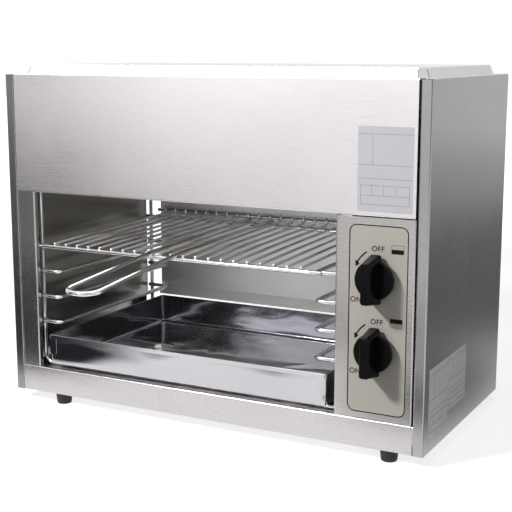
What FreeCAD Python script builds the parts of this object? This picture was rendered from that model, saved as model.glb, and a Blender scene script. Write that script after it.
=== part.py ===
import FreeCAD, Part
import math
import os

from FreeCAD import Placement, Rotation, Vector

# A counter-top gas salamander grill with an open front, a wire rack with a loop handle, a drip
# tray and two push-and-turn gas taps. Millimetres. It is laid out from the lower front left corner
# of the casing: X to the right, Y to the rear from the front flanges, Z up from the casing's foot.

# Casing
CASE_W = 520.0
CASE_D = 267.0
CASE_H = 378.0
SHEET = 1.0
FOLD_R = 1.8  # outside radius of a fold
SEAM = 0.3  # gap between neighbouring sheets
FRONT_FLANGE = 12.0  # width of a side panel's front flange
FLANGE_RETURN = 15.0  # how far that flange folds back
REAR_FLANGE = 15.0
INNER_FLANGE = 14.0  # the side panel's top and bottom flanges
INSIDE_FLANGE = FRONT_FLANGE + SEAM
REAR_SHEET_GAP = 0.1
REAR_Y = CASE_D - SHEET - REAR_SHEET_GAP  # outer face of the rear panels

# Front, from the foot up
BASE_H = 31.3
BASE_LIP = 24.0
HOOD_H = 135.4  # below the side panels' top
HOOD_Z = CASE_H - HOOD_H
HOOD_RISE = 1.5  # of its top fold over the side panels
HOOD_RIGHT_GAP = 2.0
HOOD_TOP_LIP = 14.5
HOOD_LIP_UP = 10.0
PILLAR_W = 24.2
PILLAR_RETURN = 6.5

# Control side
CONTROL_W = 85.5
CONTROL_RIGHT_GAP = 13.0  # from the casing's side
CONTROL_X = (CASE_W - CONTROL_RIGHT_GAP - CONTROL_W, CASE_W - CONTROL_RIGHT_GAP)
CONTROL_PROUD = 1.0
CONTROL_GAP = 0.6  # above the base and below the hood
CONTROL_Z = (BASE_H + CONTROL_GAP, HOOD_Z - CONTROL_GAP)
WINDOW_LEFT = 15.0  # margins of the control panel's window
WINDOW_RIGHT = 7.0
WINDOW_FOOT = 6.8
WINDOW_HEAD = 7.5
WINDOW_X = (CONTROL_X[0] + WINDOW_LEFT, CONTROL_X[1] - WINDOW_RIGHT)
WINDOW_Z = (CONTROL_Z[0] + WINDOW_FOOT, CONTROL_Z[1] - WINDOW_HEAD)
WINDOW_R = 8.0
PLATE_GAP = 0.8
PLATE_LAP = 4.5
PLATE_RISE = 0.8  # of its middle, forwards
SPINDLE_HOLE = 12.0
TAP_FROM_RIGHT = 40.0  # from the control panel's right edge
TAP_PITCH = 75.0
TAPS_UP = 5.9  # their middle, over the window's
TAPS_MIDDLE = sum(WINDOW_Z) / 2 + TAPS_UP
TAP_X = CONTROL_X[1] - TAP_FROM_RIGHT
TAP_Z = {"front": TAPS_MIDDLE + TAP_PITCH / 2, "rear": TAPS_MIDDLE - TAP_PITCH / 2}

# Grill chamber
CAVITY_LEFT = 31.5
CAVITY_CONTROL_LAP = 5.0  # of the partition, behind the control panel's left edge
CAVITY_X = (CAVITY_LEFT, CONTROL_X[0] + CAVITY_CONTROL_LAP)
LINER_FOOT = 43.7  # over the base
LINER_Z = BASE_H + LINER_FOOT
CORNER_GAP = 10.0  # between the side walls and the rear wall
BACK_SPACE = 12.0  # from the rear wall to the casing's rear
BACK_Y = CASE_D - BACK_SPACE
LINER_REAR = BACK_Y - CORNER_GAP
LINER_UP = 75.4  # over the hood's lower edge
LINER_TOP = HOOD_Z + LINER_UP
PARTITION_TOP_GAP = 18.0
LINER_FLANGE = 17.0
PARTITION_FLANGE = 11.5
BACK_INSET = 16.5  # of the back liner below the hood
BACK_UP = 57.4
BACK_TOP = HOOD_Z + BACK_UP
DRIP_FOLD_IN = 6.0
DRIP_FOLD_H = 13.0
SHIELD_DROP = 16.0
SHIELD_OVER_LINER = 4.0

# Rear panels
COVER_RETURN = 30.0
VENT_COUNT = 14
VENT_W = 6.0
VENT_H = 38.0
VENT_PITCH = 26.0
VENT_UNDER_TOP = 34.0

# Lid
LID_FRONT = 15.0
LID_LEFT_BORDER = 13.0  # round the raised pan
LID_RIGHT_BORDER = 12.0
LID_FRONT_BORDER = 16.0
LID_REAR_BORDER = 10.0
PAN_X = (LID_LEFT_BORDER, CASE_W - LID_RIGHT_BORDER)
PAN_Y = (LID_FRONT_BORDER, CASE_D - LID_REAR_BORDER)
PAN_RISE = 11.0
PAN_TOP = CASE_H + PAN_RISE
PAN_LEAN = 4.5
PAN_CHAMFER = 9.0
MITRE_GAP = 0.8

# Wires
WIRE = 5.0
ROD = 3.0
TOUCH = 0.02  # between wires that are welded together
CLEAR = 0.3  # between a moving piece and what carries it
WIRE_BEND = 6.0  # middle radius
HOOP_BEND = 12.0
HOOP_UP = 19.4  # over the hood's lower edge
RUNNER_COUNT = 4
LOW_RUNNER_UP = 11.5  # over the liner's foot
TOP_RUNNER_DOWN = 64.1  # under the hood
LOW_RUNNER_Z = LINER_Z + LOW_RUNNER_UP
TOP_RUNNER_Z = HOOD_Z - TOP_RUNNER_DOWN
RUNNER_INSET = 31.1  # of a runner's straight from the cavity wall
RUNNER_END_LAP = 1.0  # past the upright's middle
FRONT_RUNNER_Y = PILLAR_RETURN + WIRE / 2 + 0.5
WIRE_SLOT = WIRE / 2 + CLEAR
FRONT_HOOP_Y = FRONT_RUNNER_Y + WIRE + TOUCH
REAR_HOOP_Y = BACK_Y - WIRE_SLOT
REAR_RUNNER_Y = REAR_HOOP_Y - WIRE - TOUCH
HOOP_Z = BASE_H + WIRE / 2 + TOUCH

# Rack
RACK_LEFT_GAP = 5.8  # from the chamber's walls to the bars' ends
RACK_RIGHT_GAP = 22.5
RACK_X = (CAVITY_X[0] + RACK_LEFT_GAP, CAVITY_X[1] - RACK_RIGHT_GAP)
ROD_MARGIN = 24.6  # from the bars' left ends to the first rod
ROD_PITCH = 15.95
FIRST_ROD = RACK_X[0] + ROD_MARGIN
ROD_COUNT = int((RACK_X[1] - ROD_MARGIN - FIRST_ROD) / ROD_PITCH + 1.2)
BAR_GAP = 0.4  # between the front bar and the runners behind it
REAR_BAR_IN = 19.0  # from the chamber's rear wall
REAR_BAR_Y = BACK_Y - REAR_BAR_IN
RACK_TILT = (WIRE + 2 * TOUCH) / (REAR_BAR_Y - FRONT_RUNNER_Y)
ROD_END_UP = 9.5
ROD_REAR_GAP = 1.5
RAISED_BAR_UP = 3.5
RAISED_BAR_IN = 16.5  # from the chamber's left wall
RAISED_BAR_RIGHT = 13.0  # short of the other bars
RAISED_BAR_X = (CAVITY_X[0] + RAISED_BAR_IN, RACK_X[1] - RAISED_BAR_RIGHT)
LEFT_ROD_COUNT = 8  # rods to the left of the handle's left gap
LEG_GAP_COUNT = 2  # rod gaps between its legs
HANDLE_REACH = 159.0
HANDLE_TIP_HALF = 18.5
HANDLE_TIP_R = 16.0
HANDLE_KNEE_R = 20.0
HANDLE_DROOP = 0.086
BAR_Y = FRONT_RUNNER_Y - WIRE - BAR_GAP
ROD_REAR_Y = REAR_RUNNER_Y - ROD_REAR_GAP

# Drip tray
TRAY_LEFT_GAP = 20.5  # from the chamber's walls
TRAY_RIGHT_GAP = 13.5
TRAY_X = (CAVITY_X[0] + TRAY_LEFT_GAP, CAVITY_X[1] - TRAY_RIGHT_GAP)
TRAY_FRONT = -1.0
TRAY_REAR_GAP = 6.0
TRAY_REAR = BACK_Y - TRAY_REAR_GAP
TRAY_H = 36.4
TRAY_FLOOR = HOOP_Z + WIRE / 2 + CLEAR
TRAY_TOP = TRAY_FLOOR + TRAY_H
TRAY_LEAN = 4.5  # of the front and rear walls
TRAY_SIDE_LEAN = 2.0
TRAY_SHEET = 0.8
TRAY_RIM = 4.5
TRAY_BEND = 3.5
TAB_W = 9.0
TAB_H = 19.0

# Burners
BURNER_LEFT_GAP = 14.5  # from the chamber's walls
BURNER_RIGHT_GAP = 16.5
BURNER_X = (CAVITY_X[0] + BURNER_LEFT_GAP, CAVITY_X[1] - BURNER_RIGHT_GAP)
BURNER_FRONT = BASE_LIP + 10.0
BURNER_REAR = BACK_Y - 9.0
BURNER_GAP = 20.0
BURNER_D = (BURNER_REAR - BURNER_FRONT - BURNER_GAP) / 2
BURNER_Y = {"front": BURNER_FRONT + BURNER_D / 2, "rear": BURNER_REAR - BURNER_D / 2}
BURNER_OVER_HOOD_EDGE = 12.4
BURNER_H = 45.0
BURNER_Z = (HOOD_Z + BURNER_OVER_HOOD_EDGE, HOOD_Z + BURNER_OVER_HOOD_EDGE + BURNER_H)
BURNER_WALL = 1.2
BURNER_R = 6.0
BURNER_END_FLANGE = 7.5
BURNER_SIDE_FLANGE = 4.0
PLAQUE_COUNT = 4
PLAQUE_GAP = 1.0
PLAQUE_T = 12.0
GAUZE_COLUMN_COUNT = 16
GAUZE_ROW_COUNT = 4
GAUZE_BAR = 2.0
RAIL_Z = BURNER_Z[0] - SHEET
RAIL_LEDGE = 15.2
RAIL_LEG = 14.0

# Gas train
VALVE_Y = 13.0
VALVE_D = 28.0
VALVE_L = 32.0
VALVE_CHAMFER = 3.0
VALVE_INLET_D = 16.0
OUTLET_BACK = 24.0  # behind the valve's front
OUTLET_Y = VALVE_Y + OUTLET_BACK
OUTLET_D = 12.0
OUTLET_REACH = 19.0
OUTLET_END = TAP_X + OUTLET_REACH
BRACKET_LEFT = 21.0
BRACKET_RIGHT = 23.0
BRACKET_X = (TAP_X - BRACKET_LEFT, TAP_X + BRACKET_RIGHT)
BRACKET_END = 45.0  # beyond the taps
BRACKET_Z = (TAP_Z["rear"] - BRACKET_END, TAP_Z["front"] + BRACKET_END)
BRACKET_FOOT = 7.0
MANIFOLD_D = 16.0
MANIFOLD_WALL = 2.0
MANIFOLD_Y = VALVE_Y + VALVE_L + 15.0 + MANIFOLD_D / 2
MANIFOLD_END = 25.0  # over the upper tap
INLET_UP = 30.7  # over the base
INLET_Z = BASE_H + INLET_UP
INLET_HOLE_GAP = 0.5
MANIFOLD_BEND = 24.0
NIPPLE_D = 9.5
NIPPLE_BORE = 6.0
NIPPLE_REACH = 25.0  # beyond the casing
NIPPLE_CHAMFER = 0.8
NIPPLE_HEX = 22.0
NIPPLE_HEX_L = 7.0
PIPE_D = 8.0
PIPE_BORE = 6.0
PIPE_BEND = 10.0
PIPE_RUN = 12.0
PIPE_X = OUTLET_END + PIPE_RUN

# Mixing tubes
TUBE_D = 28.0
TUBE_WALL = 1.5
TUBE_UP = 28.5  # over the burner's mouth
TUBE_Z = BURNER_Z[0] + TUBE_UP
TUBE_INSIDE = 6.0
TUBE_HOLE_GAP = 1.0
INJECTOR_D = 10.0
INJECTOR_HEX = 16.0
INJECTOR_HEX_L = 8.0
INJECTOR_NOSE = 10.0
UNION_L = 2.0
JET = 1.2
TUBE_END = OUTLET_END - INJECTOR_HEX_L - UNION_L
AIR_WINDOW_L = 13.0
AIR_WINDOW_END = 8.0  # before the tube's end

# Ignition
IGNITER_W = 11.6
IGNITER_L = 42.0
IGNITER_H = 18.0
IGNITER_EDGE = 2.0
IGNITER_GAP = 0.4
IGNITER_X = (TAP_X - VALVE_D / 2 - IGNITER_GAP - IGNITER_W, TAP_X - VALVE_D / 2 - IGNITER_GAP)
ELECTRODE_OUT = 5.0  # from the burner's end
ELECTRODE_X = BURNER_X[1] + ELECTRODE_OUT
ELECTRODE_OFF = 28.0  # from the burner's middle
ELECTRODE_D = 6.0
ELECTRODE_DOWN = 5.0
ELECTRODE_UP = 28.0
ELECTRODE_Z = (BURNER_Z[0] - ELECTRODE_DOWN, BURNER_Z[0] + ELECTRODE_UP)
ELECTRODE_COLLAR_D = 9.0
ELECTRODE_COLLAR_L = 4.0
SPARK_D = 2.0
SPARK_REACH = 16.0
LEAD_D = 3.0
LEAD_RISE = 13.0
LEAD_Z = ELECTRODE_Z[1] + LEAD_RISE
LEAD_BEND = 8.0

# Tap and knob
BORE_FIT = 0.05  # running clearance on the radius
PLUG_D = 14.0
PLUG_IN = 5.0  # behind the valve's front
PLUG_L = 22.0
PLUG_RECESS_D = 10.8
PLUG_RECESS_L = 7.0
PLUG_BORE_L = 9.0
PLUG_PORT_D = 4.0
PLUG_END_GAP = 1.0
PLUG_Y = VALVE_Y + PLUG_IN
PLUG_SEAT_Y = PLUG_Y + PLUG_RECESS_L
SPINDLE_D = 8.0
SPINDLE_FLAT = 2.8  # from the axis
COLLAR_D = 10.2
COLLAR_L = 2.0
COLLAR_Y = VALVE_Y + CLEAR
STEM_D = 6.0
STEM_IN = 4.0  # past the spring's seat
SPRING_WIRE = 0.9
SPRING_COIL_COUNT = 4
KNOB_D = 41.0
KNOB_PUSH = 4.0
KNOB_CLEAR = 0.5  # that is left when it is pushed in
DISC_BACK = -PLATE_RISE - KNOB_CLEAR - KNOB_PUSH
DISC_T = 5.7
DISC_FRONT = DISC_BACK - DISC_T
DISC_EDGE = 1.2
GRIP_REACH = 22.0
KNOB_FRONT = DISC_FRONT - GRIP_REACH
GRIP_FOOT_W = 13.0
GRIP_FOOT_H = 51.0
GRIP_FRONT_W = 10.2
GRIP_FRONT_H = 42.0
GRIP_R = 3.2
GRIP_EDGE = 1.0
KNOB_SHELL = 2.4
SOCKET_WALL = 8.0  # in front of the socket
SOCKET_END = KNOB_FRONT + SOCKET_WALL
SOCKET_D = 12.0

# Feet and screws
FOOT_H = 13.0
FOOT_TOP_D = 20.0
FOOT_SOLE_D = 17.0
FOOT_LEFT = 62.0  # from the casing's sides
FOOT_RIGHT = 40.5
FOOT_FRONT = 12.0
FOOT_REAR = 13.0
FOOT_X = (FOOT_LEFT, CASE_W - FOOT_RIGHT)
FOOT_Y = (FOOT_FRONT, CASE_D - FOOT_REAR)
FOOT_RECESS = 5.0
SCREW_D = 4.0
SCREW_HEAD_D = 8.0
SCREW_HEAD_H = 2.4
SCREW_L = 8.0
SCREW_SLACK = 0.25
SCREW_OVER_HOOD_EDGE = 20.0
SCREW_UNDER_TOP = 30.0
SCREW_FROM_COVER_END = 28.0
SCREW_IN_BASE = 1.5

LEFT, RIGHT = 1, -1
X, Y, Z = Vector(1, 0, 0), Vector(0, 1, 0), Vector(0, 0, 1)


def box(x0, x1, y0, y1, z0, z1):
    return Part.makeBox(x1 - x0, y1 - y0, z1 - z0, Vector(x0, y0, z0))


def cylinder(diameter, start, axis, length):
    return Part.makeCylinder(diameter / 2, length, start, axis)


def hexagon(across_flats, start, axis, length):
    """A hexagonal prism on an axis along X, Y or Z."""
    across = X if axis.z else Z
    corners = [
        start + Rotation(axis, 60 * turn).multVec(across) * (across_flats / math.sqrt(3))
        for turn in range(7)
    ]
    return Part.Face(Part.makePolygon(corners)).extrude(axis * length)


def mirrored(shape, middle_x):
    return shape.mirror(Vector(middle_x, 0, 0), X)


def placed(shape, place):
    moved = shape.copy()
    moved.Placement = place.multiply(moved.Placement)
    return moved


def rounded_edges(points, radii):
    """Straight runs through the points, with an arc of its own radius at each inner point."""
    edges = []
    start = points[0]
    for before, corner, after, radius in zip(points, points[1:], points[2:], radii):
        back = (before - corner).normalize()
        onward = (after - corner).normalize()
        half = back.getAngle(onward) / 2
        reach = radius / math.tan(half)
        crown = corner + (back + onward).normalize() * (radius / math.sin(half) - radius)
        first, last = corner + back * reach, corner + onward * reach
        if (first - start).Length > 1e-6:
            edges.append(Part.LineSegment(start, first).toShape())
        edges.append(Part.Arc(first, crown, last).toShape())
        start = last
    if (points[-1] - start).Length > 1e-6:
        edges.append(Part.LineSegment(start, points[-1]).toShape())
    return edges


def on_plane(plane, level, u, v):
    if plane == "XY":
        return Vector(u, v, level)
    if plane == "XZ":
        return Vector(u, level, v)
    return Vector(level, u, v)


def beside(points, distance):
    """The corners of the line that runs beside an open plane line, to its left."""
    lines = []
    for (u0, v0), (u1, v1) in zip(points, points[1:]):
        length = math.hypot(u1 - u0, v1 - v0)
        du, dv = (u1 - u0) / length, (v1 - v0) / length
        lines.append((u0 - dv * distance, v0 + du * distance, du, dv, length))
    u, v = lines[0][:2]
    corners = [(u, v)]
    for (au, av, adu, adv, _), (bu, bv, bdu, bdv, _) in zip(lines, lines[1:]):
        along = ((bu - au) * bdv - (bv - av) * bdu) / (adu * bdv - adv * bdu)
        corners.append((au + adu * along, av + adv * along))
    u, v, du, dv, length = lines[-1]
    corners.append((u + du * length, v + dv * length))
    return corners


def folded(points, side, plane, level, length, thickness=SHEET, radius=FOLD_R):
    """A sheet folded along a plane line and as long as the extrusion square to that plane.

    The sheet lies on the line's left or right side, and its bends are concentric arcs.
    """
    other = beside(points, side * thickness)
    line_radii, other_radii = [], []
    for (u0, v0), (u1, v1), (u2, v2) in zip(points, points[1:], points[2:]):
        turn = (u1 - u0) * (v2 - v1) - (v1 - v0) * (u2 - u1)
        towards_sheet = turn * side > 0
        line_radii.append(radius if towards_sheet else radius - thickness)
        other_radii.append(radius - thickness if towards_sheet else radius)
    near = [on_plane(plane, level, u, v) for u, v in points]
    far = [on_plane(plane, level, u, v) for u, v in other]
    edges = rounded_edges(near, line_radii)
    edges.append(Part.LineSegment(near[-1], far[-1]).toShape())
    edges += rounded_edges(far[::-1], other_radii[::-1])
    edges.append(Part.LineSegment(far[0], near[0]).toShape())
    normal = {"XY": Z, "XZ": Y, "YZ": X}[plane]
    return Part.Face(Part.Wire(edges)).extrude(normal * length)


def rounded_slab(x0, x1, z0, z1, radius, y0, y1):
    """An upright plate with rounded corners."""
    slab = box(x0, x1, y0, y1, z0, z1)
    return slab.makeFillet(radius, [edge for edge in slab.Edges if abs(edge.tangentAt(0).y) > 0.9])


def bent_wire(points, diameter, radii):
    """A round wire along straight runs, with a bend of its own middle radius at each corner."""
    if not hasattr(radii, "__len__"):
        radii = [radii] * (len(points) - 2)
    path = Part.Wire(rounded_edges(points, radii))
    section = Part.makeCircle(diameter / 2, points[0], points[1] - points[0])
    return path.makePipeShell([Part.Wire(section)], True, False)


def bent_tube(points, diameter, bore, radius):
    return bent_wire(points, diameter, radius).cut(bent_wire(points, bore, radius))


def straight_wire(start, end, diameter):
    return cylinder(diameter, start, end - start, (end - start).Length)


def turned(profile, x, z):
    """A solid of revolution about a tap's axis, from (radius, y) points in order."""
    points = [Vector(x + radius, y, z) for radius, y in profile]
    face = Part.Face(Part.makePolygon(points + points[:1]))
    return face.revolve(Vector(x, 0, z), Y, 360)


# Casing sheets


def side_panel():
    """Left side: a flat wall, a boxed front flange that is open at the top, and a rear flange."""
    wall = folded(
        [(FRONT_FLANGE, FLANGE_RETURN), (FRONT_FLANGE, 0), (0, 0), (0, CASE_D), (REAR_FLANGE, CASE_D)],
        RIGHT, "XY", 0, CASE_H,
    )
    rear = CASE_D - SHEET
    shelf = box(SHEET, INNER_FLANGE, FLANGE_RETURN + 3, rear, CASE_H - SHEET, CASE_H)
    sole = box(SHEET, INNER_FLANGE, BASE_LIP + 2, CASE_D - BASE_LIP - 2, 0, SHEET)
    return wall.fuse([shelf, sole])


def hood_front_panel():
    """The deep front band over the opening, with a stiffening lip under it and boxed ends."""
    x0, x1 = INSIDE_FLANGE, CASE_W - FRONT_FLANGE - HOOD_RIGHT_GAP
    top = CASE_H + HOOD_RISE
    band = folded(
        [
            (BASE_LIP, HOOD_Z + HOOD_LIP_UP), (BASE_LIP, HOOD_Z), (0, HOOD_Z),
            (0, top), (HOOD_TOP_LIP, top),
        ],
        RIGHT, "YZ", x0, x1 - x0,
    )
    ends = [
        box(x, x + SHEET, SHEET, HOOD_TOP_LIP - SHEET, HOOD_Z + SHEET, top - SHEET)
        for x in (x0, x1 - SHEET)
    ]
    holes = [
        cylinder(2 * WIRE_SLOT, Vector(x, FRONT_HOOP_Y, HOOD_Z - SHEET), Z, 3 * SHEET)
        for x in hoop_x()
    ]
    return band.fuse(ends).cut(Part.makeCompound(holes))


def base_pan():
    """The bottom, folded down to a front rail and a rear rail that stand on the feet."""
    x0, x1 = INSIDE_FLANGE, CASE_W - INSIDE_FLANGE
    rear = CASE_D - SHEET
    pan = folded(
        [(BASE_LIP, 0), (0, 0), (0, BASE_H), (rear, BASE_H), (rear, 0), (CASE_D - BASE_LIP, 0)],
        RIGHT, "YZ", x0, x1 - x0,
    )
    holes = [
        cylinder(SCREW_D + 2 * SCREW_SLACK, Vector(x, y, -SHEET), Z, 3 * SHEET)
        for x in FOOT_X for y in FOOT_Y
    ]
    return pan.cut(Part.makeCompound(holes))


def left_pillar():
    x0 = INSIDE_FLANGE
    x1 = x0 + PILLAR_W
    line = [(x0, FRONT_FLANGE), (x0, 0), (x1, 0), (x1, PILLAR_RETURN)]
    return folded(line, LEFT, "XY", BASE_H, HOOD_Z - BASE_H)


def control_panel():
    """The frame of the control side: a folded panel with a large rounded window."""
    x0, x1 = CONTROL_X
    z0, z1 = CONTROL_Z
    front, rear = -CONTROL_PROUD, PILLAR_RETURN
    shell = folded([(x0, rear), (x0, front), (x1, front), (x1, rear)], LEFT, "XY", z0, z1 - z0)
    inner = front + SHEET
    left_end = CAVITY_X[1] + PARTITION_FLANGE + SEAM
    ends = [
        box(left_end, x1 - SHEET, inner, inner + PILLAR_RETURN, z, z + SHEET) for z in (z0, z1 - SHEET)
    ]
    window = rounded_slab(*WINDOW_X, *WINDOW_Z, WINDOW_R, front - SHEET, inner + SHEET)
    return shell.fuse(ends).cut(window)


def control_plate():
    """The plate behind the window: its raised middle fills the window up to a thin groove."""
    x0, x1 = WINDOW_X
    z0, z1 = WINDOW_Z
    inner = SHEET - CONTROL_PROUD
    gap, lap = PLATE_GAP, PLATE_LAP
    middle = rounded_slab(x0 + gap, x1 - gap, z0 + gap, z1 - gap, WINDOW_R - gap, -PLATE_RISE, inner)
    back = box(x0 - lap, x1 + lap, inner, inner + SHEET, z0 - lap, z1 + lap)
    holes = [
        cylinder(SPINDLE_HOLE, Vector(TAP_X, -PLATE_RISE - SHEET, z), Y, 4 * SHEET)
        for z in TAP_Z.values()
    ]
    return middle.fuse(back).cut(Part.makeCompound(holes))


def left_liner():
    """The chamber's polished left wall, hooked behind the pillar, open to the casing under it."""
    x, y = CAVITY_X[0], SHEET
    lower = folded(
        [(x - LINER_FLANGE, y), (x, y), (x, LINER_REAR)], LEFT, "XY", LINER_Z, HOOD_Z - LINER_Z
    )
    upper = box(x - SHEET, x, BASE_LIP + SHEET, LINER_REAR, HOOD_Z, LINER_TOP)
    return lower.fuse(upper)


def partition():
    """The wall between the chamber and the gas compartment, pierced for tubes and leads."""
    x, y = CAVITY_X[1], SHEET
    lower = folded(
        [(x + PARTITION_FLANGE, y), (x, y), (x, LINER_REAR)], RIGHT, "XY", BASE_H, HOOD_Z - BASE_H
    )
    upper = box(x, x + SHEET, BASE_LIP + SHEET, LINER_REAR, HOOD_Z, CASE_H - PARTITION_TOP_GAP)
    holes = []
    for y_burner in BURNER_Y.values():
        tube = Vector(x - SHEET, y_burner, TUBE_Z)
        holes.append(cylinder(TUBE_D + 2 * TUBE_HOLE_GAP, tube, X, 3 * SHEET))
        lead = Vector(x - SHEET, y_burner + ELECTRODE_OFF, LEAD_Z)
        holes.append(cylinder(2 * LEAD_D, lead, X, 3 * SHEET))
    return lower.fuse(upper).cut(Part.makeCompound(holes))


def back_liner():
    """The chamber's rear wall, with a drip fold at its foot; under the hood it fills the width."""
    x0, x1 = CAVITY_X[0] + SEAM, CAVITY_X[1] - SEAM
    bottom = LINER_Z + DRIP_FOLD_H
    wall = folded(
        [
            (BACK_Y - DRIP_FOLD_IN, LINER_Z), (BACK_Y, bottom),
            (BACK_Y, BACK_TOP), (REAR_Y - SHEET - SEAM, BACK_TOP),
        ],
        RIGHT, "YZ", x0, x1 - x0,
    )
    corners = [
        box(x, x + BACK_INSET, BACK_Y - 2 * DRIP_FOLD_IN, CASE_D, LINER_Z - SHEET, HOOD_Z)
        for x in (x0, x1 - BACK_INSET)
    ]
    return wall.cut(Part.makeCompound(corners))


def hood_back_panel():
    """The upper rear panel with a row of upright exhaust slots."""
    panel = box(2 * SHEET, CASE_W - 2 * SHEET, REAR_Y - SHEET, REAR_Y, HOOD_Z + SEAM, CASE_H - SHEET)
    middle = CASE_H - VENT_UNDER_TOP
    first = CASE_W / 2 - VENT_PITCH * (VENT_COUNT - 1) / 2
    slots = [
        rounded_slab(
            x - VENT_W / 2, x + VENT_W / 2, middle - VENT_H / 2, middle + VENT_H / 2,
            VENT_W / 2 - 0.01, REAR_Y - 2 * SHEET, REAR_Y + SHEET,
        )
        for x in (first + VENT_PITCH * step for step in range(VENT_COUNT))
    ]
    return panel.cut(Part.makeCompound(slots))


def compartment_cover():
    """The rear cover of the gas compartment, folded forwards along the partition."""
    x0, x1 = CAVITY_X[1] + SHEET + SEAM, CASE_W - 2 * SHEET
    line = [(x0, REAR_Y - COVER_RETURN), (x0, REAR_Y), (x1, REAR_Y)]
    cover = folded(line, RIGHT, "XY", BASE_H + SEAM, HOOD_Z - BASE_H - SEAM)
    inlet = Vector(TAP_X, REAR_Y - 2 * SHEET, INLET_Z)
    return cover.cut(cylinder(MANIFOLD_D + 2 * INLET_HOLE_GAP, inlet, Y, 4 * SHEET))


def heat_shield():
    """An inverted channel over the burners, between the chamber's walls."""
    x0, x1 = CAVITY_X[0] + SEAM, CAVITY_X[1] - SEAM
    top = LINER_TOP + SHIELD_OVER_LINER
    foot = top - SHIELD_DROP
    line = [(x0, foot), (x0, top), (x1, top), (x1, foot)]
    return folded(line, RIGHT, "XZ", BASE_LIP + 3, BACK_Y - BASE_LIP - 4)


def octagon(inset, z):
    """The raised pan's outline, a rectangle with cut corners, as corner points."""
    (x0, x1), (y0, y1) = PAN_X, PAN_Y
    x0, x1, y0, y1 = x0 + inset, x1 - inset, y0 + inset, y1 - inset
    cut = PAN_CHAMFER - inset * (2 - math.sqrt(2))
    return [
        Vector(x0 + cut, y0, z), Vector(x1 - cut, y0, z), Vector(x1, y0 + cut, z),
        Vector(x1, y1 - cut, z), Vector(x1 - cut, y1, z), Vector(x0 + cut, y1, z),
        Vector(x0, y1 - cut, z), Vector(x0, y0 + cut, z),
    ]


def frustum(lower, upper):
    wires = [Part.makePolygon(points + points[:1]) for points in (lower, upper)]
    return Part.makeLoft(wires, True, True)


def top_lid():
    """A flat border that rests on the side flanges and a shallow raised pan with slit mitres."""
    border = box(
        SHEET, CASE_W - SHEET, LID_FRONT, CASE_D - SHEET / 2, CASE_H, CASE_H + SHEET
    )
    lean = PAN_LEAN / (PAN_TOP - CASE_H - SHEET)
    wall = SHEET * math.hypot(1, lean)
    foot, top = octagon(0, CASE_H), octagon(PAN_LEAN, PAN_TOP)
    inner_foot = octagon(wall - lean * SHEET, CASE_H - SHEET)
    inner_top = octagon(wall + PAN_LEAN - lean * SHEET, PAN_TOP - SHEET)
    hollow = frustum(inner_foot, inner_top)
    lid = border.fuse(frustum(foot, top)).cut(hollow)
    slits = []
    for low, high in zip(foot, top):
        slit = box(-MITRE_GAP / 2, MITRE_GAP / 2, -2 * SHEET, 2 * SHEET, SHEET, PAN_TOP - CASE_H - SHEET)
        turn = math.degrees(math.atan2(high.y - low.y, high.x - low.x)) + 90
        lean_angle = math.degrees(math.atan2(math.hypot(high.x - low.x, high.y - low.y), high.z - low.z))
        upright = Rotation(Z, turn).multiply(Rotation(X, lean_angle))
        slits.append(placed(slit, Placement(low, upright)))
    return lid.cut(Part.makeCompound(slits))


# Wires and rack


def hoop_x():
    return CAVITY_X[0] + WIRE_SLOT, CAVITY_X[1] - WIRE_SLOT


def wire_hoop(y):
    """A wire that runs down one wall, across under the tray and up the other wall."""
    x0, x1 = hoop_x()
    top = HOOD_Z + HOOP_UP
    points = [Vector(x0, y, top), Vector(x0, y, HOOP_Z), Vector(x1, y, HOOP_Z), Vector(x1, y, top)]
    return bent_wire(points, WIRE, HOOP_BEND)


def runners():
    """Left-hand runners: each a wire from the front upright, back along the side, to the rear one."""
    x_end = hoop_x()[0] - RUNNER_END_LAP
    x = CAVITY_X[0] + RUNNER_INSET
    step = (TOP_RUNNER_Z - LOW_RUNNER_Z) / (RUNNER_COUNT - 1)
    return Part.makeCompound([
        bent_wire(
            [
                Vector(x_end, FRONT_RUNNER_Y, z), Vector(x, FRONT_RUNNER_Y, z),
                Vector(x, REAR_RUNNER_Y, z), Vector(x_end, REAR_RUNNER_Y, z),
            ],
            WIRE, WIRE_BEND,
        )
        for z in (LOW_RUNNER_Z + step * level for level in range(RUNNER_COUNT))
    ])


def rod_z(y):
    """Height of a rod's middle: the rods lie on the top runners' front stretch and rise rearwards."""
    return TOP_RUNNER_Z + (WIRE + ROD) / 2 + CLEAR + RACK_TILT * (y - FRONT_RUNNER_Y)


def bar_z(y):
    """Height of a cross bar whose top the rods touch."""
    return rod_z(y) - ((WIRE + ROD) / 2 + TOUCH) * math.hypot(1, RACK_TILT)


def rack_front_bar():
    x0, x1 = RACK_X
    z = bar_z(BAR_Y)
    return straight_wire(Vector(x0, BAR_Y, z), Vector(x1, BAR_Y, z), WIRE)


def rack_rods():
    """The rods, each turned up at its rear end."""
    front, rear = BAR_Y - ROD / 2, ROD_REAR_Y
    rods = []
    for step in range(ROD_COUNT):
        x = FIRST_ROD + ROD_PITCH * step
        points = [
            Vector(x, front, rod_z(front)), Vector(x, rear, rod_z(rear)),
            Vector(x, rear, rod_z(rear) + ROD_END_UP),
        ]
        rods.append(bent_wire(points, ROD, ROD))
    return Part.makeCompound(rods)


def rack_rear_bars():
    """The bar under the rods that slides on the runners, and the raised bar behind their ends."""
    x0, x1 = RACK_X
    z = bar_z(REAR_BAR_Y)
    support = straight_wire(Vector(x0, REAR_BAR_Y, z), Vector(x1, REAR_BAR_Y, z), WIRE)
    y = ROD_REAR_Y + (ROD + WIRE) / 2 + TOUCH
    z = rod_z(ROD_REAR_Y) + RAISED_BAR_UP
    raised = straight_wire(Vector(RAISED_BAR_X[0], y, z), Vector(RAISED_BAR_X[1], y, z), WIRE)
    return Part.makeCompound([support, raised])


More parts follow.
